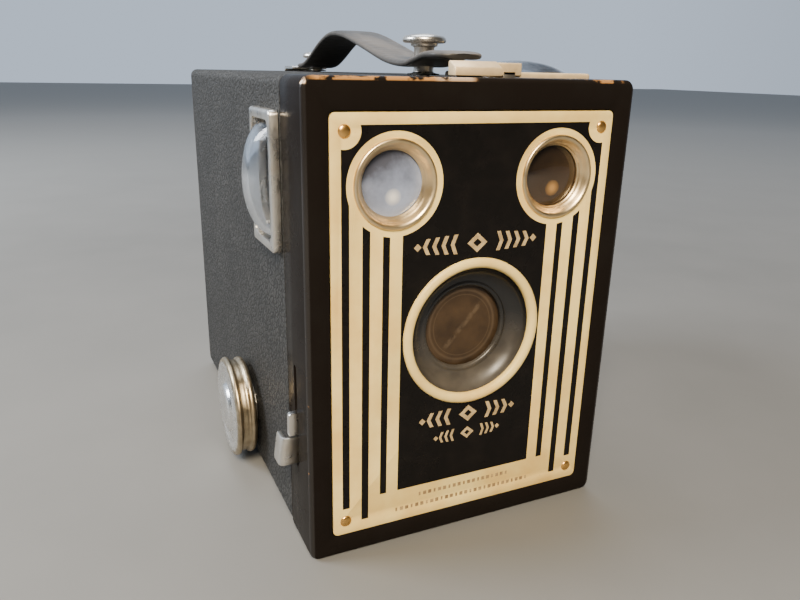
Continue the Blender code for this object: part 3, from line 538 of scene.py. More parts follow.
def steel():
    """Plain drawn steel with a few dark patches."""
    tint = (0.36, 0.36, 0.37)
    paint = Paint("plain_steel", tint, 0.35, 1.0)
    grain = paint.noise(0.4, 3.0, stretch=(1, 0.05, 1))
    dark = paint.mottle(5.0, 6.0, 0.60, 0.72, 0.0, 0.5)
    paint.colour(paint.mix(dark, tint, tuple(0.5 * v for v in tint)))
    paint.roughness(paint.span(grain, 0.3, 0.7, 0.27, 0.47))
    paint.bump(grain, 0.06, 0.08)
    return paint.material


def inner_black():
    """Dull black japanning inside the case."""
    paint = Paint("inner_japan", (0.02, 0.02, 0.021), 0.55)
    paint.colour(paint.mix(paint.mottle(6.0, 5.0, 0.4, 0.8), (0.016, 0.016, 0.017), (0.045, 0.041, 0.037)))
    paint.roughness(paint.mottle(2.0, 4.0, 0.3, 0.7, 0.42, 0.65))
    paint.bump(paint.noise(0.5, 3.0), 0.12, 0.1)
    return paint.material


def clear_glass(name, tint=(0.93, 0.95, 0.95), roughness=0.03):
    """Old clear glass with a film of dust."""
    paint = Paint(name, tint, roughness, Transmission_Weight=1.0, IOR=1.5)
    paint.roughness(paint.mottle(3.0, 6.0, 0.4, 0.8, roughness, roughness + 0.16))
    paint.bump(paint.noise(6.0, 2.0), 0.03, 0.2)
    return paint.material


def painted_view_lens(name, side, high, low, painted_hot_spot):
    """A finder lens: a little clear glass under a painted reflection of the view, shaded from one corner to the
    other.

    side is -1 for the left and 1 for the right, and the last colour is a painted highlight near the lower
    middle.
    """
    clear = {"IOR": 1.5, "Transmission_Weight": 0.2}
    paint = Paint(name, high, 0.08, **clear, Coat_Weight=0.7, Coat_Roughness=0.03)
    x, _, z = paint.axes()
    across = paint.minus(x, side * FINDER.x * MM)
    up = paint.minus(z, FINDER.z * MM)
    slant = paint.minus(up, paint.times(across, 0.7))
    gradient_wobble = paint.times(paint.noise(4.0, 4.0), 12.0 * MM)
    # Painted reflection: the colour shades from the lower colour to the upper one along a slant, standing in
    # for what the finder's mirror shows.
    shaded = paint.mix(paint.span(paint.plus(slant, gradient_wobble), 0.0, 12 * MM), low, high)
    # Painted highlight: a bright spot of the last colour near the lower middle.
    lower = paint.plus(up, 2.6 * MM)
    spot = paint.span(paint.distance(across, lower), 0.4 * MM, 1.9 * MM, 1.0, 0.0)
    paint.colour(paint.mix(spot, shaded, painted_hot_spot))
    paint.roughness(paint.mottle(3.0, 5.0, 0.35, 0.75, 0.05, 0.20))
    paint.bump(paint.noise(5.0, 2.0), 0.03, 0.2)
    return paint.material


def mirror_silver():
    """Silvered glass with a few brown spots."""
    silver = (0.86, 0.88, 0.9)
    paint = Paint("mirror_silver", silver, 0.03, 1.0)
    paint.roughness(paint.mottle(4.0, 6.0, 0.5, 0.85, 0.02, 0.16))
    paint.colour(paint.mix(paint.mottle(1.5, 5.0, 0.66, 0.8), silver, (0.42, 0.38, 0.33)))
    return paint.material


def dusty_glass():
    """The brown, dusty glass at the bottom of the funnel, with faint rings and a wiped streak."""
    paint = Paint("dusty_front_glass", (0.05, 0.032, 0.02), 0.35, IOR=1.4)
    x, _, z = paint.axes()
    across = paint.minus(x, LENS.x * MM)
    up = paint.minus(z, LENS.z * MM)
    reach = paint.distance(across, up)
    ring = paint.most(paint.between(reach, 8.1, 8.3, 0.3), paint.between(reach, 7.2, 7.25, 0.15))
    slant = paint.plus(paint.times(across, 0.74), paint.times(up, -0.67))
    broken = paint.mottle(1.6, 3.0, 0.35, 0.6)
    streak = paint.times(paint.between(slant, -0.1, 0.5, 0.5), paint.between(reach, 0, 5.6, 1.5), broken)
    film = paint.mix(paint.mottle(5.0, 5.0, 0.3, 0.75), (0.030, 0.019, 0.011), (0.062, 0.039, 0.021))
    marks = paint.most(paint.times(ring, 0.3), paint.times(streak, 0.5))
    paint.colour(paint.mix(marks, film, (0.13, 0.095, 0.062)))
    paint.roughness(paint.mottle(2.5, 5.0, 0.3, 0.7, 0.28, 0.48))
    paint.bump(paint.noise(2.0, 2.0), 0.04, 0.1)
    return paint.material


def funnel_black():
    """The smooth black enamel of the funnel round the lens, turning lighter grey-brown and rougher in patches
    towards the bottom.
    """
    paint = Paint("funnel_black", (0.010, 0.0095, 0.0095), 0.2, IOR=1.5)
    z = paint.axes()[2]
    # Lighter grey-brown in patches towards the bottom.
    low = paint.span(z, (LENS.z - 13) * MM, (LENS.z + 3) * MM, 1.0, 0.0)
    dust = paint.times(low, paint.mottle(4.0, 4.0, 0.2, 0.7, 0.45, 1.0))
    paint.colour(paint.mix(dust, (0.010, 0.0105, 0.012), (0.085, 0.074, 0.060)))
    smears = paint.mottle(6.0, 5.0, 0.35, 0.75, 0.16, 0.30)
    paint.roughness(paint.plus(smears, paint.times(dust, 0.25)))
    paint.bump(paint.noise(3.0, 2.0), 0.04, 0.1)
    return paint.material


def strap_leather():
    """Black leather, creased across, with grey-brown wear patches that show only where the band faces up, a
    painted top light.
    """
    paint = Paint("strap_leather", (0.05, 0.046, 0.042), 0.55, Sheen_Weight=0.1)
    creases = paint.noise(1.3, 4.0, stretch=(0.25, 1, 1))
    grain = paint.cells(0.5, "SMOOTH_F1")
    worn = paint.span(paint.noise(7.0, 6.0, stretch=(1.4, 0.35, 1)), 0.40, 0.66)
    surface = paint.node("ShaderNodeNewGeometry")
    tilt = paint.node("ShaderNodeSeparateXYZ")
    paint.feed(tilt.inputs[0], surface.outputs["Normal"])
    # Painted light: the wear patches show only on faces that point up, as if lit from above.
    painted_top_light = paint.span(tilt.outputs[2], 0.1, 0.7)
    paint.colour(paint.mix(paint.times(worn, painted_top_light), (0.010, 0.009, 0.0085), (0.085, 0.072, 0.060)))
    paint.roughness(paint.span(creases, 0.3, 0.7, 0.40, 0.62))
    height = paint.plus(paint.times(creases, 0.8), paint.times(grain, -0.4))
    paint.bump(height, 0.35, 0.2)
    return paint.material


def red_glass():
    """Ruby glass, darker in patches."""
    paint = Paint("ruby_glass", (0.55, 0.01, 0.008), 0.12, Transmission_Weight=0.6, IOR=1.5)
    paint.colour(paint.mix(paint.mottle(3.0, 4.0, 0.35, 0.75), (0.50, 0.012, 0.01), (0.22, 0.01, 0.01)))
    paint.roughness(paint.mottle(1.5, 4.0, 0.4, 0.8, 0.08, 0.25))
    return paint.material


GILT = (0.88, 0.69, 0.41)
GOLD = (0.90, 0.52, 0.16)
TARNISH = (0.40, 0.24, 0.09)
# Each finder lens's painted view: upper colour, lower colour and painted highlight. The left is a bright blue
# painted reflection, the right a dim brown one.
LEFT_PAINTED_VIEW = ((0.085, 0.092, 0.125), (0.42, 0.50, 0.72), (1.0, 1.0, 1.0))
RIGHT_PAINTED_VIEW = ((0.020, 0.013, 0.008), (0.065, 0.040, 0.020), (0.50, 0.27, 0.08))
MATERIALS = {
    "enamel": black_enamel(),
    "plate_black": plate_black(),
    "funnel": funnel_black(),
    "cream": cream_enamel(),
    "ornament": print_ink("ornament_print", (0.56, 0.42, 0.22), (0.34, 0.24, 0.12)),
    "marks": print_ink("marks_print", (0.20, 0.13, 0.07), (0.50, 0.36, 0.17)),
    "leatherette": leatherette(),
    "nickel": nickel(),
    "knob": knob_metal(),
    "tab": tab_metal_warm_reflection(),
    "brass": brass("nail_brass", GOLD, TARNISH),
    "bezel": brass("bezel_gilt", GILT, (0.66, 0.47, 0.24), 0.28, 0.42),
    "steel": steel(),
    "japan": inner_black(),
    "glass": clear_glass("lens_glass"),
    "lens_left": painted_view_lens("finder_painted_view_left", -1, *LEFT_PAINTED_VIEW),
    "lens_right": painted_view_lens("finder_painted_view_right", 1, *RIGHT_PAINTED_VIEW),
    "dome": clear_glass("window_glass", (0.90, 0.92, 0.95), 0.05),
    "mirror": mirror_silver(),
    "dusty": dusty_glass(),
    "strap": strap_leather(),
    "ruby": red_glass(),
}


def show(thing, finish, body, *nodes):
    """Gives a piece its finish and its body, and hides the CAD nodes that it stands for."""
    thing.data.materials.clear()
    thing.data.materials.append(MATERIALS[finish])
    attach(thing, body)
    if nodes:
        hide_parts(*nodes)
    return thing


# ---------------------------------------------------------------- case


def case_loop(inset, depth):
    """The case's outline at a depth, drawn in by inset."""
    low = (-HALF_WIDTH + inset, inset)
    high = (HALF_WIDTH - inset, HEIGHT - inset)
    return [at(x, depth, z) for x, z in rounded(low, high, max(CASE_CORNER - inset, 0.6))]


def plate_loop(margin, depth):
    """The faceplate's outline at a depth, grown by margin."""
    low = (PLATE_LOW.x - margin, PLATE_LOW.z - margin)
    high = (PLATE_HIGH.x + margin, PLATE_HIGH.z + margin)
    return [at(x, depth, z) for x, z in rounded(low, high, 1.2 + max(margin, 0))]


def front_cover():
    """The black enamelled pan, with a narrow round front edge and a recess for the faceplate."""
    turns = [math.radians(90 * k / 8) for k in range(9)]
    loops = [
        plate_loop(-1.0, 0.75), plate_loop(0.2, 0.75), plate_loop(0.2, 0.35), plate_loop(0.32, 0.1),
        plate_loop(0.55, 0.0), case_loop(CASE_EDGE + 1.5, 0.0),
        *[case_loop(CASE_EDGE * (1 - math.sin(t)), CASE_EDGE * (1 - math.cos(t))) for t in turns],
        case_loop(0, 8), case_loop(0, COVER_DEPTH - 0.5), case_loop(0.15, COVER_DEPTH - 0.12),
        case_loop(0.45, COVER_DEPTH), case_loop(COVER_WALL, COVER_DEPTH - 0.1), case_loop(COVER_WALL, 2.4),
        case_loop(2.2, 1.6), plate_loop(-1.0, 1.6),
    ]
    cover = loft("case_cover", loops)
    lever_slot = sheet("lever_slot", "YZ", [rounded((7.6, 19.6), (9.4, 43.9), 0.85, 4)], (-45, -35))
    aperture_slot = block("aperture_slot", (-3.4, 3.4), (6.4, 7.8), (98, 105))
    time_slot = block("time_slot", (8.7, 12.3), (7.7, 9.1), (98, 105))
    cut(cover, lever_slot, aperture_slot, time_slot, window_hole("top"))
    show(cover, "enamel", "case", "front_cover")


def window_hole(name):
    """A cutter for the opening behind a finder window, a little larger than its glass."""
    centre = WINDOWS[name]
    long_half, short_half = PANE[0] / 2 + 0.2, PANE[1] / 2 + 0.2
    depths = (centre.y - short_half, centre.y + short_half)
    if name == "side":
        return block("side_hole", (-45, -30), depths, (centre.z - long_half, centre.z + long_half))
    return block("top_hole", (centre.x - long_half, centre.x + long_half), depths, (95, 110))


def leatherette_wrap():
    """The covering of the top and both sides, with its windows and holes."""
    low, high = millimetres("side_leatherette")
    outer, top, foot, thick = high.x, high.z, low.z, 0.7
    corner = CASE_CORNER - 0.1
    section = [
        (outer, foot), *arc(outer - corner, top - corner, corner, 0, 90, 10),
        *arc(-outer + corner, top - corner, corner, 90, 180, 10), (-outer, foot),
        (-outer + thick, foot), *arc(-outer + corner, top - corner, corner - thick, 180, 90, 10),
        *arc(outer - corner, top - corner, corner - thick, 90, 0, 10), (outer - thick, foot),
    ]
    loops = [[at(x, d, z) for x, z in section] for d in (low.y, high.y)]
    skin = loft("leatherette_wrap", loops, around=False, capped=True)
    bushing = lathe("bushing_hole", "X", KNOB, [(0, -42), (3.9, -42), (3.9, -32), (0, -32)], 32)
    studs = [
        lathe(f"{name}_hole", "Z", middle_of(name), [(0, 96), (1.9, 96), (1.9, 104), (0, 104)], 24)
        for name in ("strap_stud_front", "strap_stud_rear")
    ]
    cut(skin, window_hole("side"), window_hole("top"), bushing, *studs)
    show(skin, "leatherette", "case", "side_leatherette")
    low, high = millimetres("bottom_leatherette")
    edge = rounded((low.x, low.y), (high.x, high.y), 1.0)
    base = sheet("leatherette_base", "XY", [edge], (low.z, high.z), 0.15)
    show(base, "leatherette", "case", "bottom_leatherette")
    low, high = millimetres("door_leatherette")
    edge = rounded((low.x, low.z), (high.x, high.z), 1.8)
    panel = sheet("leatherette_door", "XZ", [edge, circle(LENS.x, LENS.z, 7.8)], (low.y, high.y), 0.15)
    show(panel, "leatherette", "door", "door_leatherette")


# ---------------------------------------------------------------- faceplate

TOP_BORDER = 2.3
RING_RADIUS = 10.4
PAD_RADIUS = 3.4
# The striped sides: how far each black line's edges stand in from the plate's edge, and its lower end.
OUTER_LINE = (2.2, 3.8, 11.6)
MIDDLE_LINE = (6.6, 8.2, 7.9)
INNER_LINE = (11.0, 12.5, 13.3)
CENTRE_EDGE = 15.3
FIELD_FOOT = 13.3
LENS_HOLE, FINDER_HOLE, NAIL_HOLE = 15.2, 8.4, 0.7
# Each ornament row: the height of its middle, its half width, its height and its pairs of chevrons.
ORNAMENT_ROWS = [(69.3, 14.9, 4.2, 4), (29.3, 12.5, 4.0, 3), (24.4, 8.7, 3.0, 3)]
# Each row of dashes: the height of its middle, its half width, its height and its pitch.
DASH_ROWS = [(10.9, 12.5, 0.9, 1.3), (8.2, 18.5, 0.9, 1.3)]


def mirrored(points):
    return [(-x, z) for x, z in reversed(points)]


def ring_angle(x):
    """The angle in degrees at which the finder's ring has this x, below its middle."""
    across = x - FINDER.x
    return math.degrees(math.atan2(-math.sqrt(RING_RADIUS**2 - across**2), across))


def field_outline():
    """The black field's right half, from its top middle down the stripes to its bottom middle."""
    half = PLATE_HIGH.x
    top = PLATE_HIGH.z - TOP_BORDER
    outside, inside, foot = half - OUTER_LINE[0], half - OUTER_LINE[1], OUTER_LINE[2]
    centre = half - CENTRE_EDGE
    rise, reach = top - NAIL.z, outside - NAIL.x
    pad_start = math.degrees(math.atan2(rise, -math.sqrt(PAD_RADIUS**2 - rise**2)))
    pad_end = 360 + math.degrees(math.atan2(-math.sqrt(PAD_RADIUS**2 - reach**2), reach))
    ring_start = ring_angle(inside)
    ring_end = 360 + ring_angle(centre)
    return [
        (0.0, top),
        *arc(NAIL.x, NAIL.z, PAD_RADIUS, pad_start, pad_end, 14),
        (outside, foot),
        (inside, foot),
        *arc(FINDER.x, FINDER.z, RING_RADIUS, ring_start, ring_end, 60),
        (centre, FIELD_FOOT),
        (0.0, FIELD_FOOT),
    ]


def stripe_outline(line):
    """A black line that hangs from the finder's ring."""
    half = PLATE_HIGH.x
    outside, inside, foot = half - line[0], half - line[1], line[2]
    top = arc(FINDER.x, FINDER.z, RING_RADIUS, ring_angle(outside), ring_angle(inside), 6)
    return [(outside, foot), *top, (inside, foot)]


def chevron(x, z, width, height, thick, way):
    """An arrowhead stripe, pointing along way."""
    tip = x + way * width / 2
    back = x - way * width / 2
    top, foot = z + height / 2, z - height / 2
    return [
        (back, top), (back + way * thick, top), (tip, z), (back + way * thick, foot), (back, foot),
        (tip - way * thick, z),
    ]


def dash(x, z, width, height):
    left, right = x - width / 2, x + width / 2
    foot, top = z - height / 2, z + height / 2
    return [(left, foot), (right, foot), (right, top), (left, top)]


def lozenge(x, z, width, height):
    return [(x + width / 2, z), (x, z + height / 2), (x - width / 2, z), (x, z - height / 2)]


def ornament_row(z, half_width, height, pairs):
    """A lozenge between chevrons that point outwards, ended by small lozenges."""
    loops = [lozenge(0, z, height * 1.15, height), lozenge(0, z, height * 0.5, height * 0.42)]
    first = height * 1.15
    pitch = (half_width - height * 0.35 - first) / pairs
    for way in (-1, 1):
        for k in range(pairs):
            x = way * (first + pitch * (k + 0.35))
            loops.append(chevron(x, z, pitch * 0.8, height * (1 - 0.07 * k), pitch * 0.42, way))
        loops.append(lozenge(way * (half_width - height * 0.2), z, height * 0.4, height * 0.4))
    return loops


def dash_row(z, half_width, height, pitch):
    """A row of short upright dashes."""
    count = int(2 * half_width / pitch)
    loops = []
    for k in range(count):
        width = pitch * (0.62 if k % 3 else 0.34)
        loops.append(dash((k - (count - 1) / 2) * pitch, z, width, height))
    return loops


def faceplate():
    """The cream plate, with its black field and lines, its ornaments and its printed marks."""
    holes = [circle(LENS.x, LENS.z, LENS_HOLE)]
    for side in (-1, 1):
        holes.append(circle(side * FINDER.x, FINDER.z, FINDER_HOLE, 64))
        for nail in (NAIL, LOWER_NAIL):
            holes.append(circle(side * nail.x, nail.z, NAIL_HOLE, 16))
    edge = rounded((PLATE_LOW.x, PLATE_LOW.z), (PLATE_HIGH.x, PLATE_HIGH.z), 1.2)
    plate = sheet("faceplate_cream", "XZ", [edge, *holes], (0.1, 0.6), 0.1)
    show(plate, "cream", "case", "faceplate")
    half_field = field_outline()
    whole_field = half_field[:-1] + mirrored(half_field[1:-1])
    field = sheet("faceplate_field", "XZ", [whole_field, circle(LENS.x, LENS.z, LENS_HOLE + 0.4)], (0.04, 0.16))
    show(field, "plate_black", "case")
    stripes = [stripe_outline(line) for line in (MIDDLE_LINE, INNER_LINE)]
    lines = sheet("faceplate_lines", "XZ", stripes + [mirrored(s) for s in stripes], (0.04, 0.16))
    show(lines, "plate_black", "case")
    shapes = [shape for row in ORNAMENT_ROWS for shape in ornament_row(*row)]
    ornament = sheet("faceplate_ornament", "XZ", shapes, (-0.02, 0.1))
    show(ornament, "ornament", "case")
    dashes = [shape for row in DASH_ROWS for shape in dash_row(*row)]
    show(sheet("faceplate_marks", "XZ", dashes, (0.06, 0.16)), "marks", "case")


def nails():
    profile = [
        (0, -0.43), (0.3, -0.42), (0.7, -0.36), (1.05, -0.22), (1.25, -0.05), (1.3, 0.06), (0.5, 0.1),
        (0.5, 2.3), (0, 2.3),
    ]
    for name, x, z in (
        ("upper_left", -NAIL.x, NAIL.z), ("upper_right", NAIL.x, NAIL.z),
        ("lower_left", -LOWER_NAIL.x, LOWER_NAIL.z), ("lower_right", LOWER_NAIL.x, LOWER_NAIL.z),
    ):
        show(lathe(f"brass_nail_{name}", "Y", (x, 0, z), profile, 32, 50), "brass", "case", f"nail_{name}")


# ---------------------------------------------------------------- lens front and finders


def lens_front():
    rim = [
        (16.88, 0.1), (16.85, -0.25), (16.65, -0.55), (16.25, -0.76), (15.75, -0.83), (15.25, -0.74),
        (14.88, -0.5), (14.66, -0.15), (14.55, 0.3), (14.6, 0.7), (15.0, 0.7), (15.1, 0.1),
    ]
    show(lathe("lens_rim_ring", "Y", LENS, rim, 128, 60), "cream", "case", "lens_rim")
    dish = [
        (14.5, 0.45), (14.42, 0.9), (14.15, 1.5), (13.7, 2.1), (13.0, 2.75), (12.1, 3.3), (11.2, 3.65),
        (10.7, 3.75),
    ]
    lip = [
        (10.45, 3.6), (10.1, 3.5), (9.75, 3.6), (9.5, 3.9), (9.45, 4.4), (11.0, 4.4), (11.0, 6.6),
        (11.5, 6.6),
    ]
    back = [(11.5, 4.4), (13.2, 3.4), (15.0, 2.5), (17.0, 2.5), (17.0, 1.8), (15.05, 1.7), (15.05, 0.8)]
    show(lathe("lens_funnel", "Y", LENS, dish + lip + back, 128, 50), "funnel", "case", "lens_cone")
    glass = [
        (0, 4.72), (4.0, 4.74), (8.0, 4.8), (10.2, 4.86), (10.7, 5.0), (10.8, 5.3), (10.8, 5.9), (0, 5.9),
    ]
    show(lathe("front_glass_disc", "Y", LENS, glass, 96), "dusty", "case", "front_glass")


def finder_fronts():
    bezel = [
        (8.98, 0.08), (8.95, -0.2), (8.75, -0.42), (8.45, -0.48), (8.15, -0.38), (7.85, -0.05), (7.5, 0.5),
        (7.2, 0.95), (7.0, 1.1), (6.9, 1.35), (6.8, 1.6), (6.62, 1.7), (6.55, 1.9), (6.6, 2.2), (7.8, 2.2),
        (7.8, 5.0), (8.25, 5.0), (8.25, 0.08),
    ]
    lens = [
        (0, 1.3), (1.8, 1.34), (3.4, 1.47), (4.8, 1.7), (6.0, 2.05), (6.6, 2.3), (7.6, 2.4), (7.6, 4.0),
        (4.5, 4.35), (0, 4.5),
    ]
    for name, side in (("left", -1), ("right", 1)):
        centre = (side * FINDER.x, 0, FINDER.z)
        show(lathe(f"bezel_{name}", "Y", centre, bezel, 96, 60), "bezel", "case", f"finder_bezel_{name}")
        glass = lathe(f"lens_{name}", "Y", centre, lens, 64, 60)
        show(glass, f"lens_{name}", "case", f"finder_lens_{name}")


def finder_windows():
    """The two domed windows and their pressed frames.

    Each window's way turns (along the long side, across, outwards) into a point of the frame.
    """
    side, top = WINDOWS["side"], WINDOWS["top"]
    ways = {
        "side": lambda a, b, c: at(-HALF_WIDTH - 0.05 - c, side.y + b, side.z + a),
        "top": lambda a, b, c: at(top.x + a, top.y + b, HEIGHT + 0.05 + c),
    }
    for name, way in ways.items():
        low, high = millimetres(f"finder_frame_{name}")
        thick, short_side, long_side = sorted(high - low)
        rise = [(0, 0.0), (0, thick - 0.6), (0.09, thick - 0.28), (0.3, thick - 0.07), (0.6, thick)]
        fall = [(0.35, thick), (0.12, thick - 0.07), (0.0, thick - 0.3), (0.0, 0.0)]
        outer = [(long_side / 2 - inset, short_side / 2 - inset, 1.2 - inset, out) for inset, out in rise]
        inner = [(OPENING[0] / 2 + inset, OPENING[1] / 2 + inset, 1.6 + inset, out) for inset, out in fall]
        loops = [[way(x, y, out) for x, y in rounded((-a, -b), (a, b), r)] for a, b, r, out in outer + inner]
        # The top frame takes the tan tab finish as a painted warm reflection; the side frame stays nickel.
        finish = "tab" if name == "top" else "nickel"
        show(loft(f"window_frame_{name}", loops), finish, "case", f"finder_frame_{name}")
        pane = dome(f"window_dome_{name}", way, DOME_RISE[name])
        show(pane, "dome", "case", f"finder_window_{name}")


def dome(name, way, rise):
    """A domed glass, thick enough to refract, with a flat rim behind the frame."""
    thick, sunk, steps = 1.1, 0.25, 40
    shape = bmesh.new()
    sides = []
    for inner in (0.0, thick):
        grid = []
        for i in range(steps + 1):
            row = []
            for j in range(steps + 1):
                a = PANE[0] * (i / steps - 0.5)
                b = PANE[1] * (j / steps - 0.5)
                u = 2 * a / DOME[0]
                v = 2 * b / DOME[1]
                swell = math.sqrt(max(0.0, 1 - u * u)) * max(0.0, 1 - v * v) ** 0.6
                row.append(shape.verts.new(way(a, b, rise * swell - sunk - inner)))
            grid.append(row)
        sides.append(grid)
    for grid in sides:
        for i in range(steps):
            for j in range(steps):
                shape.faces.new((grid[i][j], grid[i + 1][j], grid[i + 1][j + 1], grid[i][j + 1]))
    front, back = sides
    rim = [(i, 0) for i in range(steps)] + [(steps, j) for j in range(steps)]
    rim += [(i, steps) for i in range(steps, 0, -1)] + [(0, j) for j in range(steps, 0, -1)]
    for (i, j), (m, n) in zip(rim, rim[1:] + rim[:1]):
        shape.faces.new((front[i][j], front[m][n], back[m][n], back[i][j]))
    return mesh_object(name, shape, 60)


# ---------------------------------------------------------------- controls

LEVER_PIVOT = (-14.0, 27.0)
LEVER_FRONT = 8.0


def winding_knob():
    """The turned knob: a boss in a dished face, a grooved waist, and a rear flange with the shaft's hole."""
    face = [
        (0, -45.98), (3.0, -45.96), (4.6, -45.88), (5.6, -45.68), (6.15, -45.3), (6.5, -44.85), (6.9, -44.55),
        (7.6, -44.42), (9.0, -44.38), (10.0, -44.45), (10.5, -44.72), (10.9, -44.88), (11.6, -44.93),
        (12.4, -44.88), (13.0, -44.68), (13.38, -44.3), (13.48, -43.9), (13.35, -43.55), (12.9, -43.3),
        (12.35, -43.1),
    ]
    waist = [(12.3, -42.8), (12.45, -42.3), (12.45, -41.8), (12.4, -41.4), (12.6, -41.15)]
    rear = [
        (12.95, -40.95), (13.1, -40.5), (13.0, -40.0), (12.7, -39.65), (12.1, -39.5), (2.55, -39.45),
        (2.55, -44.0), (0, -44.0),
    ]
    show(lathe("knob", "X", KNOB, face + waist + rear, 128, 60), "knob", "knob", "winding_knob")


def release_lever():
    """The flat lever, its small upper lug and its curled thumb tab."""
    x, z = LEVER_PIVOT
    outline = [
        *arc(x, z, 3.6, -90, 90, 12), (x - 12, z + 3.2), (x - 21.5, z + 6.0), (x - 23.4, z + 6.0),
        (x - 23.4, z - 6.4), (x - 22.4, z - 6.4), (x - 20, z - 3.2),
    ]
    plate = sheet("lever_plate", "XZ", [outline, circle(x, z, 1.7, 32)], (LEVER_FRONT, LEVER_FRONT + 1), 0.12)
    show(plate, "nickel", "lever", "release_lever")
    root = x - 23.2
    lug = [
        (root, z + 6.0), (-39.5, z + 6.0), (-39.9, z + 5.6), (-40.0, z + 0.9), (-39.7, z + 0.6),
        (root, z + 0.6),
    ]
    show(sheet("lever_upper_tab", "XZ", [lug], (7.75, 9.2), 0.2), "nickel", "lever")
    thumb_tab(root, z + 0.1, z - 6.4)


def thumb_tab(root, top, low):
    """A tongue that runs out to the left and rolls back, reaching further at its foot."""
    front, thick, radius, tail, steps = LEVER_FRONT, 0.9, 1.3, 12.4, 8
    top_reach, low_reach = -41.5, -42.35
    loops = []
    for k in range(steps + 1):
        share = k / steps
        reach = top_reach + (low_reach - top_reach) * share
        height = top + (low - top) * share
        ease = 0.12 * (abs(2 * share - 1) ** 8)
        outer = arc(reach + radius, front + radius, radius, 270, 180, 8)
        inner = arc(reach + radius, front + radius, radius - thick, 180, 270, 8)
        ends = [(reach, tail - ease), (reach + thick, tail - ease)]
        section = [(root, front), *outer, *ends, *inner, (root, front + thick)]
        loops.append([at(x + ease * (x < root - 1), d, height) for x, d in section])
    show(bevelled(loft("lever_thumb_tab", loops, around=False, capped=True), 0.1), "nickel", "lever")


def slide_tabs():
    """The two slides: a strip with two lens stops and a plain one, each ending above the case in a tab."""
    head = HEIGHT + 1.2
    foot = HEIGHT + 0.3
    low = millimetres("aperture_slide")[0]
    strip = [
        (-5.5, low.z), (5.5, low.z), (5.5, 91.5), (3.0, 92.5),
        (3.0, head), (-3.0, head), (-3.0, 92.5), (-5.5, 91.5),
    ]
    stops = [circle(0, LENS.z, 4.0, 48), circle(0, LENS.z - 8.0, 2.4, 32)]
    aperture = sheet("aperture_strip", "XZ", [strip, *stops], (6.8, 7.4), 0.08)
    show(aperture, "nickel", "aperture", "aperture_slide")
    wedge = [
        (4.8, foot), (4.8, foot + 1.45), (4.92, foot + 1.62), (5.2, foot + 1.8), (7.1, foot + 2.8),
        (7.35, foot + 2.88), (7.7, foot + 2.86), (7.9, foot + 2.6), (7.9, foot),
    ]
    ends = [[at(x, d, z) for d, z in wedge] for x in (-4.4, 6.6)]
    folded = loft("aperture_tab", ends, around=False, capped=True)
    show(bevelled(folded, 0.15), "tab", "aperture")
    low = millimetres("time_slide")[0]
    strip = [(9.0, low.z), (12.0, low.z), (12.0, head), (9.0, head)]
    show(sheet("time_strip", "XZ", [strip], (8.1, 8.7), 0.08), "nickel", "time_stop", "time_slide")
    tongue = block("time_tab", (7.2, 13.6), (8.1, 9.5), (foot, foot + 2.7))
    show(bevelled(tongue, 0.35, 3), "tab", "time_stop")


# ---------------------------------------------------------------- strap

STRAP_LINE = [
    (9.2, 106.5), (12.5, 106.9), (17.0, 106.9), (22.0, 106.0), (28.0, 105.1), (38.0, 106.0), (52.0, 109.2),
    (64.0, 111.9), (72.0, 112.9), (79.0, 112.6), (87.0, 110.4), (96.0, 106.8), (103.0, 104.7), (111.5, 104.2),
]


def strap():
    """The leather band: its ends round off in plan, its edges are rounded and it dishes a little across."""
    route = smooth_route(STRAP_LINE, 8)
    half_width, half_thick, tip, ring_steps = 5.95, 0.8, 4.5, 28
    lengths = [0.0]
    for a, b in zip(route, route[1:]):
        lengths.append(lengths[-1] + math.dist(a, b))
    loops = []
    for k, (depth, height) in enumerate(route):
        before, after = route[max(k - 1, 0)], route[min(k + 1, len(route) - 1)]
        along = Vector((after[0] - before[0], after[1] - before[1])).normalized()
        out = Vector((-along.y, along.x))
        end_reach = min(lengths[k], lengths[-1] - lengths[k])
        share = min(1.0, end_reach / tip)
        width = half_width * (0.35 + 0.65 * math.sqrt(max(0.0, 1 - (1 - share) ** 2)))
        thick = half_thick * (0.75 + 0.25 * share)
        ring = []
        for j in range(ring_steps):
            turn = 2 * math.pi * j / ring_steps
            a = math.copysign(abs(math.cos(turn)) ** 0.28, math.cos(turn))
            b = math.copysign(abs(math.sin(turn)) ** 0.75, math.sin(turn))
            x = width * a
            lift = thick * b - 0.12 * a * a
            ring.append(at(x, depth + out.x * lift, height + out.y * lift))
        loops.append(ring)
    band = loft("strap_band", loops, around=False, capped=True, sharp_degrees=70)
    holes = [
        lathe(f"{name}_slot", "Z", middle_of(name), [(0, 95), (2.8, 95), (2.8, 120), (0, 120)], 40)
        for name in ("strap_stud_front", "strap_stud_rear")
    ]
    show(cut(band, *holes), "strap", "case", "strap")


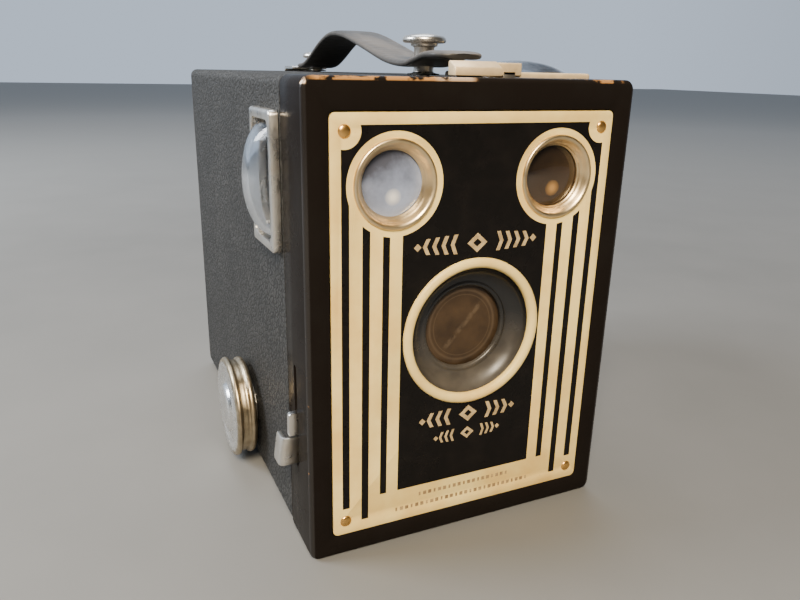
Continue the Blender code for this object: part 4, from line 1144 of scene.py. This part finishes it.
def strap_studs():
    """The headed studs: a flange on the case, a neck through the strap, a domed cap and a head inside."""
    foot = HEIGHT + 0.1
    root = [(0, foot - 3.1), (2.6, foot - 3.1), (2.6, foot - 2.2), (1.6, foot - 2.2), (1.6, foot)]
    for name, flange, neck, cap_radius, cap in (
        ("front", 4.0, 2.3, 5.0, 109.5),
        ("rear", 3.4, 2.1, 4.2, 106.6),
    ):
        collar = [
            (flange - 0.2, foot), (flange, foot + 0.12), (flange - 0.15, foot + 0.3),
            (neck + 0.6, foot + 0.42), (neck + 0.1, foot + 0.6), (neck, foot + 1.0),
        ]
        under = [
            (neck, cap - 1.0), (neck + 0.3, cap - 0.75), (neck + 0.75, cap - 0.62), (neck + 0.8, cap - 0.1),
            (neck + 0.95, cap), (cap_radius - 0.4, cap + 0.02),
        ]
        crown = [
            (cap_radius - 0.08, cap + 0.25), (cap_radius, cap + 0.65), (cap_radius - 0.1, cap + 1.05),
            (cap_radius - 0.6, cap + 1.5),
        ]
        top = [(cap_radius * 0.6, cap + 1.82), (cap_radius * 0.3, cap + 1.97), (0, cap + 2.0)]
        profile = root + collar + under + crown + top
        stud = lathe(f"stud_{name}", "Z", middle_of(f"strap_stud_{name}"), profile, 64, 55)
        show(stud, "nickel", "case", f"strap_stud_{name}")


# ---------------------------------------------------------------- frame nodes that keep their shape

KEPT = {
    "japan": [
        "body_shell", "light_cone", "film_gate", "finder_bracket_left", "finder_bracket_right",
        "shutter_plate", "shutter_disc", "back_door", "takeup_spool",
    ],
    "nickel": ["knob_bushing", "film_roller_lower", "film_roller_upper", "door_latch", "latch_bracket"],
    "steel": [
        "carrier_plate_left", "carrier_plate_right", "supply_pin_left", "supply_pin_right", "takeup_pin",
        "lens_cell", "lever_pivot", "disc_pivot", "shutter_spring", "knob_collar", "winding_shaft",
        "body_hinge_leaf", "door_hinge_leaf", "hinge_pin",
    ],
    "brass": ["window_eyelet"],
    "glass": ["meniscus_lens"],
    "mirror": ["finder_mirror_left", "finder_mirror_right"],
    "ruby": ["red_window"],
}


def kept_nodes():
    for finish, names in KEPT.items():
        for name in names:
            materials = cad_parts[name].data.materials
            materials.clear()
            materials.append(MATERIALS[finish])


# ---------------------------------------------------------------- studio


def studio():
    """A pale floor with painted light that makes it lighter with distance, and soft lights: cool from the left
    and above, warm in front.
    """
    floor_mesh = bmesh.new()
    bmesh.ops.create_grid(floor_mesh, x_segments=1, y_segments=1, size=4.0)
    floor = mesh_object("studio_floor", floor_mesh)
    paint = Paint("floor_paint", (0.19, 0.19, 0.185), 0.7)
    patches = paint.mottle(60.0, 4.0, 0.3, 0.7)
    x, y, _ = paint.axes()
    # Painted light: the floor grows much lighter with distance from the middle.
    painted_distance_light = paint.span(paint.distance(x, y), 0.25, 1.4)
    near_tone = paint.mix(patches, (0.146, 0.146, 0.141), (0.164, 0.163, 0.158))
    paint.colour(paint.mix(painted_distance_light, near_tone, (0.46, 0.46, 0.45)))
    floor.data.materials.append(paint.material)
    studio_world()
    studio_lights()


def studio_world():
    """A world that is dim in front of the box camera and pale blue behind it."""
    world = bpy.data.worlds.new("studio_world")
    world.use_nodes = True
    tree = world.node_tree
    background = tree.nodes["Background"]
    place = tree.nodes.new("ShaderNodeTexCoord")
    axes = tree.nodes.new("ShaderNodeSeparateXYZ")
    tree.links.new(place.outputs["Generated"], axes.inputs[0])
    share = tree.nodes.new("ShaderNodeMapRange")
    share.inputs["From Min"].default_value = -0.15
    share.inputs["From Max"].default_value = 0.75
    tree.links.new(axes.outputs[1], share.inputs["Value"])
    blend = tree.nodes.new("ShaderNodeMix")
    blend.data_type = "RGBA"
    tree.links.new(share.outputs[0], blend.inputs[0])
    blend.inputs[6].default_value = (0.075, 0.070, 0.064, 1.0)
    blend.inputs[7].default_value = (0.56, 0.66, 0.80, 1.0)
    tree.links.new(blend.outputs[2], background.inputs["Color"])
    background.inputs["Strength"].default_value = 1.0
    bpy.context.scene.world = world


def studio_lights():
    """Three soft square lights, each by its name, place, aim, size, power and colour."""
    for name, place, aim, size, power, colour in (
        ("window_light", (-0.75, 0.30, 0.55), (0, 0, 0.06), 0.4, 15.0, (0.90, 0.95, 1.0)),
        ("room_light", (-0.25, -0.50, 0.55), (0, 0, 0.06), 0.25, 12.5, (1.0, 0.85, 0.64)),
        ("top_light", (0.1, 0.35, 1.0), (0, 0, 0.08), 0.6, 6.0, (0.92, 0.95, 1.0)),
    ):
        data = bpy.data.lights.new(name, "AREA")
        data.size = size
        data.energy = power
        data.color = colour
        lamp = bpy.data.objects.new(name, data)
        lamp.location = place
        lamp.rotation_euler = (Vector(aim) - Vector(place)).to_track_quat("-Z", "Y").to_euler()
        bpy.context.scene.collection.objects.link(lamp)


def camera():
    data = bpy.data.cameras.new("view")
    data.lens = 31.66
    data.sensor_width = 36.0
    eye = bpy.data.objects.new("view", data)
    eye.location = (-0.0760, -0.18505, 0.1038)
    eye.rotation_euler = Euler([math.radians(a) for a in (71.82, -1.17, -24.64)])
    data.clip_start = 0.01
    bpy.context.scene.collection.objects.link(eye)
    bpy.context.scene.camera = eye


camera()
studio()
front_cover()
leatherette_wrap()
faceplate()
nails()
lens_front()
finder_fronts()
finder_windows()
winding_knob()
release_lever()
slide_tabs()
strap()
strap_studs()
kept_nodes()
